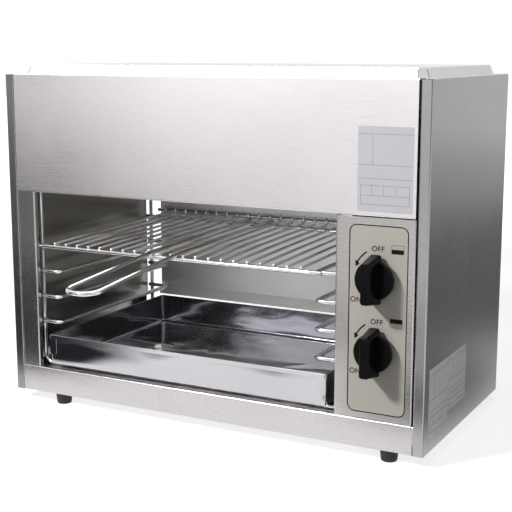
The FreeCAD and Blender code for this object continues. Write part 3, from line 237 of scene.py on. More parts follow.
def rounded_rectangle(
    half_u: Array, half_v: Array, radius: Array, arc: int, runs: tuple[int, int]
) -> Array:
    """Outlines of rounded rectangles, one for each value of the sizes.

    Each corner is a quarter circle of the radius about its own middle, and each straight run is
    divided evenly.

    Args:
        half_u: Half widths.
        half_v: Half heights.
        radius: Corner radii.
        arc: Points in each quarter circle.
        runs: Points inside the runs along u and along v.

    Returns:
        Points shaped (sizes, points round the outline, 2), anticlockwise.
    """
    half_u, half_v, radius = np.broadcast_arrays(half_u, half_v, radius)
    quarter = np.linspace(0, math.pi / 2, arc)
    parts = []
    for corner, (sign_u, sign_v) in enumerate([(1, -1), (1, 1), (-1, 1), (-1, -1)]):
        angle = quarter + math.pi / 2 * (corner - 1)
        parts.append(np.stack([
            (sign_u * (half_u - radius))[:, None] + radius[:, None] * np.cos(angle),
            (sign_v * (half_v - radius))[:, None] + radius[:, None] * np.sin(angle),
        ], -1))
    outline = []
    for corner in range(4):
        start, end = parts[corner][:, -1], parts[(corner + 1) % 4][:, 0]
        count = runs[1] if corner % 2 == 0 else runs[0]
        share = np.linspace(0, 1, count + 2)[None, 1:-1, None]
        outline += [parts[corner], start[:, None] * (1 - share) + end[:, None] * share]
    return np.concatenate(outline, axis=1)


def ripples(u: Array, v: Array, length: float, seed: int, waves: int = 18) -> Array:
    """Uneven ripples between about -1 and 1: a sum of sines with seeded directions and phases.

    Args:
        u: First coordinate.
        v: Second coordinate.
        length: The mean wave length.
        seed: Picks the waves.
        waves: How many waves are added.

    Returns:
        The height at each point.
    """
    random = np.random.default_rng(seed)
    heading = random.uniform(0, 2 * math.pi, waves)
    pitch = 2 * math.pi / (length * random.uniform(0.6, 1.9, waves))
    phase = random.uniform(0, 2 * math.pi, waves)
    wave = pitch * (u[..., None] * np.cos(heading) + v[..., None] * np.sin(heading)) + phase
    return np.sin(wave).sum(-1) / math.sqrt(2 * waves)


def lifted(outline: Array, level: float | Array, axis: int) -> Array:
    """A plane outline as points at a level of an axis, along the two other axes."""
    return np.insert(outline, axis, level, axis=-1)


def slab(outline: Array, low: float, high: float, axis: int) -> Surface:
    """A flat plate between two levels of an axis, from its outline in the two other directions."""
    return grid(np.stack([lifted(outline, low, axis), lifted(outline, high, axis)]))


def strip(low: Array, high: Array, levels: Pair, axis: int) -> Surface:
    """A rectangular plate between two levels of an axis, from two opposite corners."""
    outline = np.array([low, (high[0], low[1]), high, (low[0], high[1])])
    return slab(outline, *levels, axis)


@dataclass(frozen=True)
class Box:
    """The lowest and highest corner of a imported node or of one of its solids."""

    low: Array
    high: Array

    @staticmethod
    def of(node: str) -> "Box":
        """The box of a whole node at rest."""
        low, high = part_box(node)
        return Box(np.array(low), np.array(high))

    @property
    def middle(self) -> Array:
        """The middle of the box."""
        return (self.low + self.high) / 2

    @property
    def size(self) -> Array:
        """The box's lengths."""
        return self.high - self.low


def solids_of(node: str) -> list[Box]:
    """Find the boxes of a node's separate solids, in order of X, then Y, then Z.

    Every point starts with a label of its own, and each edge gives both its ends the lower of
    their labels until none changes, so the points of one solid end up with one label.

    Args:
        node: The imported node.

    Returns:
        A box for each group of faces that hang together.
    """
    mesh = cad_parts[node].data
    points = np.zeros(3 * len(mesh.vertices))
    mesh.vertices.foreach_get("co", points)
    points = points.reshape(-1, 3)
    ends = np.zeros(2 * len(mesh.edges), dtype=np.int32)
    mesh.edges.foreach_get("vertices", ends)
    same = np.ravel(np.unique(np.round(points, 6), axis=0, return_inverse=True)[1])
    start, end = same[ends].reshape(-1, 2).T
    label, before = np.arange(same.max() + 1), None
    while before is None or np.any(label != before):
        before = label.copy()
        np.minimum.at(label, start, before[end])
        np.minimum.at(label, end, before[start])
        label = label[label]
    owner = label[same]
    groups = [points[owner == one] for one in np.unique(owner)]
    boxes = [Box(group.min(0), group.max(0)) for group in groups]
    return sorted(boxes, key=lambda box: tuple(np.round(box.middle, 4)))


def add_object(name: str, data: bpy.types.ID) -> Object:
    """Make an object and link it to the scene.

    Args:
        name: Its name.
        data: Its mesh, curve, lamp or camera.

    Returns:
        The object.
    """
    made = bpy.data.objects.new(name, data)
    bpy.context.scene.collection.objects.link(made)
    return made


def add_square(name: str, half: float, finish: Material) -> Object:
    """Make a flat square about the origin, facing up, for the floor or a card.

    Args:
        name: The object's name.
        half: Half its side.
        finish: Its material.

    Returns:
        The object.
    """
    mesh = bpy.data.meshes.new(name)
    corners = [(-half, -half, 0), (half, -half, 0), (half, half, 0), (-half, half, 0)]
    mesh.from_pydata(corners, [], [(0, 1, 2, 3)])
    mesh.materials.append(finish)
    made = add_object(name, mesh)
    return made


# Shader trees and the effects that several finishes share


class Tree:
    """Short calls that add nodes to a shader tree and link them."""

    def __init__(self, tree: bpy.types.NodeTree) -> None:
        """Keep the tree that the calls work on."""
        self.tree = tree

    def add(self, kind: str, values: dict | None = None, **settings: object) -> bpy.types.Node:
        """Add a node.

        Args:
            kind: The node's type.
            values: Input names or numbers with their values or the sockets that feed them.
            settings: Properties of the node.

        Returns:
            The node.
        """
        node = self.tree.nodes.new(kind)
        for key, value in settings.items():
            setattr(node, key, value)
        for key, value in (values or {}).items():
            if isinstance(value, Socket):
                self.tree.links.new(value, node.inputs[key])
            else:
                node.inputs[key].default_value = value
        return node

    def calc(self, operation: str, *values: object) -> Socket:
        """A Math node's result."""
        return self.add("ShaderNodeMath", dict(enumerate(values)), operation=operation).outputs[0]

    def total(self, base: float, *parts: tuple[Socket, float]) -> Socket:
        """A base value plus each part times its factor.

        Args:
            base: The base value.
            parts: The parts with their factors.

        Returns:
            The total.
        """
        total = base
        for value, factor in parts:
            total = self.calc("MULTIPLY_ADD", value, factor, total)
        return total

    def ramp(self, value: Socket, low: object, high: object, start: float, end: float) -> Socket:
        """Carry a value smoothly from one range over to another.

        Args:
            value: The value.
            low: The first range's low end.
            high: The first range's high end.
            start: What the low end becomes.
            end: What the high end becomes.

        Returns:
            The carried value.
        """
        values = {0: value, 1: low, 2: high, 3: start, 4: end}
        return self.add("ShaderNodeMapRange", values, interpolation_type="SMOOTHSTEP").outputs[0]

    def mix(self, share: object, first: object, second: object, blend: str = "MIX") -> Socket:
        """Mix two colours.

        Args:
            share: How far the second one counts.
            first: The first colour.
            second: The second colour.
            blend: The way of mixing.

        Returns:
            The mixed colour.
        """
        first, second = [(*c, 1.0) if isinstance(c, tuple) else c for c in (first, second)]
        values = {0: share, 6: first, 7: second}
        return self.add("ShaderNodeMix", values, data_type="RGBA", blend_type=blend).outputs[2]

    def noise(self, place: Socket, scale: object, detail: float, **more: float) -> Socket:
        """Noise at a place."""
        values = {"Vector": place, "Scale": scale, "Detail": detail, **more}
        return self.add("ShaderNodeTexNoise", values).outputs[0]

    def bump(self, height: Socket, strength: float, distance: float) -> Socket:
        """A normal that is tilted by a height."""
        values = {"Height": height, "Strength": strength, "Distance": distance}
        return self.add("ShaderNodeBump", values).outputs[0]

    def place(self) -> Socket:
        """The point in the grill's own frame, in metres."""
        return self.add("ShaderNodeTexCoord").outputs["Object"]

    def far_off(self, place: Socket) -> Socket:
        """How far a place is from the origin."""
        return self.add("ShaderNodeVectorMath", {0: place}, operation="LENGTH").outputs["Value"]

    def use(self, name: str, output: int = 0, **values: object) -> Socket:
        """Place a shared effect and give one of its outputs."""
        return self.add("ShaderNodeGroup", values, node_tree=EFFECTS[name]).outputs[output]

    def close(self, shader: bpy.types.Node) -> None:
        """Join a shader to the material's output."""
        self.add("ShaderNodeOutputMaterial", {0: shader.outputs[0]})


SOCKETS = {"float": "NodeSocketFloat", "vector": "NodeSocketVector", "colour": "NodeSocketColor"}


@dataclass
class Effect:
    """A shared effect: a node group whose outputs are only colours, masks, values or normals."""

    name: str
    inputs: dict[str, str]
    outputs: dict[str, str]

    def __post_init__(self) -> None:
        """Make the empty group with its sockets."""
        self.group = bpy.data.node_groups.new(self.name, "ShaderNodeTree")
        for way, sockets in (("INPUT", self.inputs), ("OUTPUT", self.outputs)):
            for label, kind in sockets.items():
                self.group.interface.new_socket(name=label, in_out=way, socket_type=SOCKETS[kind])
        self.tree = Tree(self.group)
        self.given = self.tree.add("NodeGroupInput").outputs

    def finished(self, **results: Socket) -> bpy.types.NodeTree:
        """Join the results to the group's outputs and give the group."""
        self.tree.add("NodeGroupOutput", results)
        return self.group


def brush_lines() -> bpy.types.NodeTree:
    """Fine lines: noise on a place that is stretched by its own factor along each axis.

    Returns:
        The group.
    """
    effect = Effect("brush_lines", {"Place": "vector", "Stretch": "vector"}, {"Lines": "float"})
    tree, given = effect.tree, effect.given
    vectors = {0: given["Place"], 1: given["Stretch"]}
    stretched = tree.add("ShaderNodeVectorMath", vectors, operation="MULTIPLY").outputs[0]
    return effect.finished(Lines=tree.noise(stretched, 1.0, 2.5, Roughness=0.55))


def cloud() -> bpy.types.NodeTree:
    """Soft blotches: noise, warped a little, cut between a low and a high level.

    Returns:
        The group.
    """
    inputs = {"Place": "vector", "Scale": "float", "Low": "float", "High": "float"}
    effect = Effect("cloud", inputs, {"Mask": "float"})
    tree, given = effect.tree, effect.given
    noise = tree.noise(given["Place"], given["Scale"], 3.0, Distortion=0.6)
    return effect.finished(Mask=tree.ramp(noise, given["Low"], given["High"], 0.0, 1.0))


def cells() -> bpy.types.NodeTree:
    """Cells of a chosen size: a value of its own for each, and the height of its dome.

    Returns:
        The group.
    """
    inputs = {"Place": "vector", "Scale": "float"}
    effect = Effect("cells", inputs, {"Value": "float", "Dome": "float"})
    tree, given = effect.tree, effect.given
    found = {"Vector": given["Place"], "Scale": given["Scale"]}
    voronoi = tree.add("ShaderNodeTexVoronoi", found).outputs
    split = tree.add("ShaderNodeSeparateColor", {0: voronoi["Color"]})
    return effect.finished(Value=split.outputs[0], Dome=voronoi["Distance"])


ROW_RISE = 0.866
HOLE_EDGE = 0.05


def pierced() -> bpy.types.NodeTree:
    """Round holes in staggered rows: 1 in a hole and 0 between.

    A row rises by the pitch times the sine of 60 degrees, and every other row is moved by half a
    pitch. The mask rises where the distance to the hole's middle falls below the hole's radius.

    Returns:
        The group.
    """
    inputs = {"Place": "vector", "Pitch": "float", "Hole": "float"}
    effect = Effect("pierced", inputs, {"Mask": "float"})
    tree, given = effect.tree, effect.given
    calc = tree.calc
    axes = tree.add("ShaderNodeSeparateXYZ", {0: given["Place"]}).outputs
    row = calc("DIVIDE", axes[1], calc("MULTIPLY", given["Pitch"], ROW_RISE))
    moved = calc("MULTIPLY", calc("FLOORED_MODULO", calc("FLOOR", row), 2.0), 0.5)
    column = calc("ADD", calc("DIVIDE", axes[0], given["Pitch"]), moved)
    u, v = [calc("SUBTRACT", calc("FRACT", value), 0.5) for value in (column, row)]
    v = calc("MULTIPLY", v, ROW_RISE)
    off = calc("SQRT", calc("ADD", calc("MULTIPLY", u, u), calc("MULTIPLY", v, v)))
    inside = calc("SUBTRACT", given["Hole"], off)
    return effect.finished(Mask=tree.ramp(inside, -HOLE_EDGE, HOLE_EDGE, 0.0, 1.0))


HEAT_STOPS = (
    (0.25, (0.62, 0.60, 0.57)), (0.5, (0.55, 0.42, 0.22)),
    (0.68, (0.30, 0.17, 0.22)), (0.85, (0.16, 0.20, 0.34)),
)


def heat_tint() -> bpy.types.NodeTree:
    """The colours of heated steel, from straw to blue, in blotches and rising towards a height.

    Returns:
        The group.
    """
    inputs = {"Place": "vector", "Metal": "colour", "Height": "float", "Span": "float"}
    effect = Effect("heat_tint", inputs, {"Colour": "colour", "Mask": "float"})
    tree, given = effect.tree, effect.given
    height = tree.add("ShaderNodeSeparateXYZ", {0: given["Place"]}).outputs[2]
    off = tree.calc("ABSOLUTE", tree.calc("SUBTRACT", height, given["Height"]))
    blotch = tree.calc("ADD", tree.noise(given["Place"], 22.0, 3.0), 0.35)
    heat = tree.calc("SUBTRACT", blotch, tree.calc("DIVIDE", off, given["Span"]))
    ramp = tree.add("ShaderNodeValToRGB", {0: heat})
    stops = ramp.color_ramp.elements
    while len(stops) < len(HEAT_STOPS):
        stops.new(0.5)
    for stop, (position, colour) in zip(stops, HEAT_STOPS):
        stop.position = position
        stop.color = (*colour, 1.0)
    mask = tree.ramp(heat, 0.2, 0.9, 0.0, 1.0)
    return effect.finished(Colour=tree.mix(mask, given["Metal"], ramp.outputs[0]), Mask=mask)


EFFECTS = {maker.__name__: maker() for maker in (brush_lines, cloud, cells, pierced, heat_tint)}


# Finishes


def new_material(name: str) -> tuple[Material, Tree]:
    """Make an empty material.

    Args:
        name: Its name.

    Returns:
        The material and its tree.
    """
    material = bpy.data.materials.new(name)
    material.use_nodes = True
    material.node_tree.nodes.clear()
    return material, Tree(material.node_tree)


class Grain(Enum):
    """Which way a sheet's brush lines run: the stretch of the lines along each axis, per metre."""

    ALONG_X = (14.0, 1900.0, 1900.0)
    ALONG_Y = (1900.0, 14.0, 1900.0)
    ALONG_Z = (1900.0, 1900.0, 14.0)
    NONE = (260.0, 260.0, 260.0)


@dataclass(frozen=True)
class Finish:
    """What every finish has. Each kind of finish works out the inputs of its shader."""

    name: str
    colour: Colour

    def inputs(self, tree: Tree, place: Socket) -> dict[str, object]:
        """Work out the shader's inputs.

        Args:
            tree: The material's tree.
            place: The point in the grill's own frame.

        Returns:
            The inputs by name.
        """
        raise NotImplementedError

    def build(self) -> Material:
        """Build the material.

        Returns:
            The material.
        """
        material, tree = new_material(self.name)
        tree.close(tree.add("ShaderNodeBsdfPrincipled", self.inputs(tree, tree.place())))
        return material


@dataclass(frozen=True)
class SheetSteel(Finish):
    """Stainless sheet: brush lines, wipe marks and a slow change of tint over the sheet."""

    tint: Colour
    roughness: float
    grain: Grain = Grain.ALONG_X
    lines: float = 0.05
    wipe: float = 0.05
    tint_scale: float = 3.2
    metallic: float = 1.0
    bump: float = 0.1
    specular: float = 0.5
    wipe_scale: float = 14.0
    line_depth: float = 0.04 * MM

    def inputs(self, tree: Tree, place: Socket) -> dict[str, object]:
        """The lines darken and roughen the sheet, and the wipe marks roughen it.

        Args:
            tree: The material's tree.
            place: The point in the grill's own frame.

        Returns:
            The shader's inputs by name.
        """
        lines = tree.use("brush_lines", Place=place, Stretch=self.grain.value)
        slow = tree.use("cloud", Place=place, Scale=self.tint_scale, Low=0.3, High=0.7)
        marks = tree.use("cloud", Place=place, Scale=self.wipe_scale, Low=0.42, High=0.68)
        dim = tree.ramp(lines, 0.2, 0.8, 1.0 - self.lines, 1.0)
        uneven = tree.ramp(lines, 0.2, 0.8, -self.lines, self.lines)
        return {
            "Base Color": tree.mix(1.0, tree.mix(slow, self.colour, self.tint), dim, "MULTIPLY"),
            "Metallic": self.metallic, "Specular IOR Level": self.specular,
            "Roughness": tree.total(self.roughness, (uneven, 1.0), (marks, self.wipe)),
            "Normal": tree.bump(lines, self.bump, self.line_depth),
        }


@dataclass(frozen=True)
class Plated(Finish):
    """Plated or bare metal parts: a bright metal with cells, stains and a fine uneven skin."""

    stain: Colour
    roughness: float
    cell_scale: float = 400.0
    cell_depth: float = 0.06
    stain_scale: float = 30.0
    metallic: float = 1.0
    stain_rough: float = 0.10
    skin_scale: float = 900.0
    skin_depth: float = 0.05 * MM

    def inputs(self, tree: Tree, place: Socket) -> dict[str, object]:
        """The cells shade and roughen the metal, and the stains colour and roughen it.

        Args:
            tree: The material's tree.
            place: The point in the grill's own frame.

        Returns:
            The shader's inputs by name.
        """
        value = tree.use("cells", Place=place, Scale=self.cell_scale)
        marks = tree.use("cloud", Place=place, Scale=self.stain_scale, Low=0.5, High=0.75)
        shade = tree.ramp(value, 0.0, 1.0, 1.0 - 2 * self.cell_depth, 1.0)
        parts = (marks, self.stain_rough), (value, self.cell_depth)
        return {
            "Base Color": tree.mix(1.0, tree.mix(marks, self.colour, self.stain), shade, "MULTIPLY"),
            "Metallic": self.metallic, "Roughness": tree.total(self.roughness, *parts),
            "Normal": tree.bump(tree.noise(place, self.skin_scale, 2.0), 0.1, self.skin_depth),
        }


@dataclass(frozen=True)
class HeatedSteel(Finish):
    """Steel near the flames: its own colour far off, straw to blue near the burners' mouths."""

    roughness: float
    height: float
    span: float
    heated_rough: float = 0.15
    line_rough: float = 0.12
    line_depth: float = 0.1 * MM

    def inputs(self, tree: Tree, place: Socket) -> dict[str, object]:
        """The heat colours and roughens the steel, and fine lines roughen it everywhere.

        Args:
            tree: The material's tree.
            place: The point in the grill's own frame.

        Returns:
            The shader's inputs by name.
        """
        given = {"Place": place, "Metal": (*self.colour, 1.0), "Height": self.height, "Span": self.span}
        lines = tree.use("brush_lines", Place=place, Stretch=Grain.NONE.value)
        parts = (tree.use("heat_tint", 1, **given), self.heated_rough), (lines, self.line_rough)
        return {
            "Base Color": tree.use("heat_tint", **given), "Metallic": 1.0,
            "Roughness": tree.total(self.roughness, *parts),
            "Normal": tree.bump(lines, 0.25, self.line_depth),
        }


@dataclass(frozen=True)
class Moulded(Finish):
    """Plastic, rubber, silicone or vinyl: a fine pebbled skin with faint rubbed and dusty places."""

    rubbed: Colour
    roughness: float
    skin_scale: float = 1500.0
    skin_depth: float = 0.03 * MM
    rub_scale: float = 40.0
    specular: float = 0.5
    rub_rough: float = 0.12
    skin_rough: float = 0.06

    def inputs(self, tree: Tree, place: Socket) -> dict[str, object]:
        """The rubbed places are paler and rougher, and the pebbles catch the light.

        Args:
            tree: The material's tree.
            place: The point in the grill's own frame.

        Returns:
            The shader's inputs by name.
        """
        dome = tree.use("cells", 1, Place=place, Scale=self.skin_scale)
        rub = tree.use("cloud", Place=place, Scale=self.rub_scale, Low=0.5, High=0.8)
        parts = (rub, self.rub_rough), (dome, self.skin_rough)
        return {
            "Base Color": tree.mix(rub, self.colour, self.rubbed),
            "Roughness": tree.total(self.roughness, *parts), "Specular IOR Level": self.specular,
            "Normal": tree.bump(dome, 0.35, self.skin_depth),
        }


@dataclass(frozen=True)
class Ceramic(Finish):
    """Burner ceramic: cream, scorched in blotches, and pierced in rows where it has a pitch."""

    scorched: Colour
    roughness: float
    pitch: float = 0.0
    hole: float = 0.24
    # Painted shade: the near-black colour that stands for the dark inside each hole.
    hole_painted_shade: Colour = (0.02, 0.015, 0.012)
    pore_scale: float = 2200.0
    pore_share: float = 0.1
    depth: float = 0.3 * MM

    def inputs(self, tree: Tree, place: Socket) -> dict[str, object]:
        """The holes are painted dark as shade and sink in, and the pores roughen what is between them.

        Args:
            tree: The material's tree.
            place: The point in the grill's own frame.

        Returns:
            The shader's inputs by name.
        """
        scorch = tree.use("cloud", Place=place, Scale=18.0, Low=0.35, High=0.8)
        colour = tree.mix(scorch, self.colour, self.scorched)
        pores = tree.use("cells", 1, Place=place, Scale=self.pore_scale)
        height = pores
        if self.pitch:
            holes = tree.use("pierced", Place=place, Pitch=self.pitch, Hole=self.hole)
            # Painted shade: the holes take the near-black colour.
            colour = tree.mix(holes, colour, self.hole_painted_shade)
            height = tree.calc("SUBTRACT", tree.calc("MULTIPLY", pores, self.pore_share), holes)
        return {
            "Base Color": colour, "Roughness": tree.total(self.roughness, (pores, self.pore_share)),
            "Normal": tree.bump(height, 0.5, self.depth),
        }


BURNER_MOUTH = 0.268
FINISHES = {
    # Painted sheen: the hood's steel is a lighter copy of the other steel, standing in for a broad highlight
    # across it.
    "hood": SheetSteel(
        "hood_brushed", (0.81, 0.78, 0.80), (0.76, 0.74, 0.74), 0.28,
        lines=0.022, wipe=0.02, tint_scale=1.8, bump=0.05,
    ),
    "front": SheetSteel(
        "front_brushed", (0.56, 0.54, 0.545), (0.525, 0.505, 0.505), 0.26,
        lines=0.025, wipe=0.03, bump=0.05,
    ),
    # Painted shade: the control panel's frame is a darker copy of the front steel.
    "frame": SheetSteel(
        "frame_brushed", (0.51, 0.50, 0.49), (0.47, 0.46, 0.45), 0.26,
        lines=0.02, wipe=0.03, bump=0.03,
    ),
    "pillar": SheetSteel(
        "pillar_brushed", (0.52, 0.515, 0.50), (0.49, 0.485, 0.47), 0.24,
        Grain.ALONG_Z, 0.02, 0.03, bump=0.03,
    ),
    # Painted shade: the side sheets are darker copies of the steel, the left side darkest.
    "left_side": SheetSteel(
        "left_side_brushed", (0.31, 0.31, 0.31), (0.28, 0.28, 0.28), 0.26,
        Grain.ALONG_Y, 0.015, 0.02, bump=0.02,
    ),
    "sides": SheetSteel(
        "side_brushed", (0.41, 0.41, 0.42), (0.37, 0.37, 0.38), 0.25,
        Grain.ALONG_Y, 0.012, 0.02, bump=0.015,
    ),
    "rear": SheetSteel("rear_mill", (0.60, 0.60, 0.61), (0.54, 0.54, 0.55), 0.38, bump=0.06),
    "lid": SheetSteel("lid_brushed", (0.64, 0.63, 0.65), (0.60, 0.59, 0.61), 0.34, lines=0.035, bump=0.05),
    "plate": SheetSteel(
        "plate_satin", (0.375, 0.358, 0.326), (0.355, 0.34, 0.31), 0.34,
        lines=0.02, metallic=0.1, bump=0.03, specular=0.1,
    ),
    # Painted shade: the bright liner is given a dark copy of the steel for the shade inside the chamber.
    "liner": SheetSteel(
        "liner_painted_shade", (0.32, 0.31, 0.28), (0.28, 0.27, 0.25), 0.22, Grain.ALONG_Y, 0.03, 0.03, bump=0.05
    ),
    # Painted light: the back liner and partition are a lighter copy of the steel, brightening the chamber's
    # back.
    "back": SheetSteel("back_bright", (0.88, 0.87, 0.865), (0.82, 0.81, 0.80), 0.42, lines=0.035, bump=0.05),
    "tray": SheetSteel(
        "tray_bright", (0.52, 0.515, 0.54), (0.47, 0.47, 0.50), 0.08, Grain.NONE, 0.03, 0.03, bump=0.01
    ),
    "wires": Plated("wire_chrome", (0.68, 0.68, 0.69), (0.56, 0.55, 0.53), 0.09, 300.0, 0.03, 60.0),
    # Painted highlight: the rods' chrome is a paler, part-matt copy of the wire chrome so they read lighter.
    "rods": Plated("rod_chrome_painted_highlight", (0.93, 0.93, 0.94), (0.80, 0.79, 0.77), 0.14, 300.0, 0.02, 60.0, 0.75),
    "zinc": Plated("zinc_plated", (0.56, 0.57, 0.58), (0.44, 0.44, 0.44), 0.34, 120.0, 0.12),
    "screws": Plated("screw_zinc", (0.62, 0.62, 0.63), (0.48, 0.47, 0.45), 0.27, 900.0),
    "brass": Plated("brass_turned", (0.72, 0.55, 0.28), (0.48, 0.36, 0.20), 0.26, 700.0),
    "copper": Plated("copper_drawn", (0.70, 0.38, 0.24), (0.36, 0.21, 0.16), 0.30, 500.0, 0.08),
    "spring": Plated("spring_bright", (0.55, 0.55, 0.57), (0.42, 0.41, 0.40), 0.22, 900.0, 0.05),
    "burner": HeatedSteel("burner_aluminised", (0.42, 0.42, 0.43), 0.40, BURNER_MOUTH, 0.045),
    "gauze": HeatedSteel("gauze_heated", (0.62, 0.60, 0.57), 0.34, BURNER_MOUTH + 0.2, 0.3),
    "plaques": Ceramic("plaque_pierced", (0.80, 0.73, 0.62), (0.58, 0.47, 0.36), 0.75, 2.6 * MM),
    "electrode": Ceramic("electrode_glazed", (0.86, 0.84, 0.80), (0.70, 0.66, 0.60), 0.2),
    "knobs": Moulded("knob_black", (0.003, 0.003, 0.0035), (0.007, 0.007, 0.007), 0.18, specular=0.08),
    "rubber": Moulded("foot_rubber", (0.009, 0.009, 0.010), (0.022, 0.021, 0.021), 0.62, 900.0, 0.08 * MM),
    "silicone": Moulded("lead_silicone", (0.46, 0.035, 0.025), (0.38, 0.06, 0.05), 0.5),
    "ink": Moulded(
        "plate_ink", (0.006, 0.006, 0.006), (0.014, 0.013, 0.012), 0.5, 2500.0, 0.01 * MM, 90.0, 0.08
    ),
    "vinyl": Moulded(
        "label_vinyl", (0.42, 0.425, 0.455), (0.40, 0.405, 0.435), 0.40, 600.0, 0.01 * MM, 25.0, 0.3
    ),
    "side_vinyl": Moulded(
        "sticker_vinyl", (0.84, 0.84, 0.87), (0.79, 0.79, 0.83), 0.36, 600.0, 0.01 * MM, 25.0, 0.3
    ),
    "rule": Moulded("rule_ink", (0.14, 0.14, 0.17), (0.18, 0.18, 0.21), 0.5, 2500.0, 0.01 * MM, 90.0, 0.3),
}


# The grill's sub-assemblies


def of_each_burner(*kinds: str) -> tuple[str, ...]:
    """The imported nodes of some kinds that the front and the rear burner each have."""
    return tuple(f"{burner}_{kind}" for burner in BURNERS for kind in kinds)


@dataclass
class Assembly:
    """A sub-assembly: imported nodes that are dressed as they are, and pieces of its own."""

    finishes: dict[str, Material]
    dressed: ClassVar[dict[str, tuple[str, ...]]] = {}

    def finish(self, name: str) -> Material:
        """Give a finish's material, which is built when it is first asked for.

        Args:
            name: The finish's name.

        Returns:
            The material.
        """
        if name not in self.finishes:
            self.finishes[name] = FINISHES[name].build()
        return self.finishes[name]

    def build(self) -> None:
        """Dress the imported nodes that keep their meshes."""
        for finish, nodes in self.dressed.items():
            for node in nodes:
                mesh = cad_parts[node].data
                mesh.materials.clear()
                mesh.materials.append(self.finish(finish))
                LOG.info("%s: dressed as %s", node, finish)

    def piece(
        self, name: str, surface: Surface, finish: str, body: str = "root",
        slot: str | None = None, node: str | None = None, crease: float = 40.0,
    ) -> Object:
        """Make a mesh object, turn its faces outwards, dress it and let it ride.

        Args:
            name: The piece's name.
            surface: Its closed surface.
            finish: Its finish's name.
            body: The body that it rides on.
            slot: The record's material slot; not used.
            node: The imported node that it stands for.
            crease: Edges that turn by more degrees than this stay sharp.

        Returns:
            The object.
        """
        mesh = bpy.data.meshes.new(name)
        mesh.from_pydata(surface.points.tolist(), [], surface.faces)
        shell = bmesh.new()
        shell.from_mesh(mesh)
        bmesh.ops.remove_doubles(shell, verts=shell.verts, dist=SAME_POINT)
        bmesh.ops.recalc_face_normals(shell, faces=shell.faces)
        shell.to_mesh(mesh)
        shell.free()
        mesh.shade_smooth()
        mesh.set_sharp_from_angle(angle=math.radians(crease))
        mesh.materials.append(self.finish(finish))
        made = add_object(name, mesh)
        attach(made, body)
        if node:
            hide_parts(node)
        LOG.info("%s: %d faces on %s", name, len(mesh.polygons), body)
        return made


LABEL = np.array([(184.0, 260.5), (242.5, 345.5)]) * MM
STICKERS = np.array([[(14.0, 26.0), (75.0, 101.0)], [(75.6, 40.0), (136.5, 101.0)]]) * MM
RULES = np.array([
    [(0.0, 0.91), (1.0, 0.91)], [(0.0, 0.55), (1.0, 0.55)], [(0.0, 0.39), (1.0, 0.39)],
    [(0.06, 0.31), (0.94, 0.31)], [(0.06, 0.19), (0.94, 0.19)], [(0.06, 0.085), (0.94, 0.085)],
    [(0.27, 0.55), (0.27, 0.91)], [(0.06, 0.085), (0.06, 0.31)], [(0.94, 0.085), (0.94, 0.31)],
    [(0.26, 0.19), (0.26, 0.31)], [(0.48, 0.19), (0.48, 0.31)], [(0.70, 0.19), (0.70, 0.31)],
])
RECESS_ARM, RECESS_REACH, RECESS_EDGE, RECESS_DEPTH = 0.14, 0.62, 0.05, 0.5
HEAD_TURNS = np.linspace(0, math.pi / 2, 6)[1:]
HEAD_SHARES = np.concatenate([
    [1.0, 1.0], 1 - 0.5 * np.linspace(0, 1, 6)[1:] ** 2, np.linspace(0.48, 0.01, 22),
])
HEAD_RISES = np.concatenate([[0.0, 0.45], 0.45 + 0.5 * np.sin(HEAD_TURNS), np.linspace(0.955, 1.0, 22)])


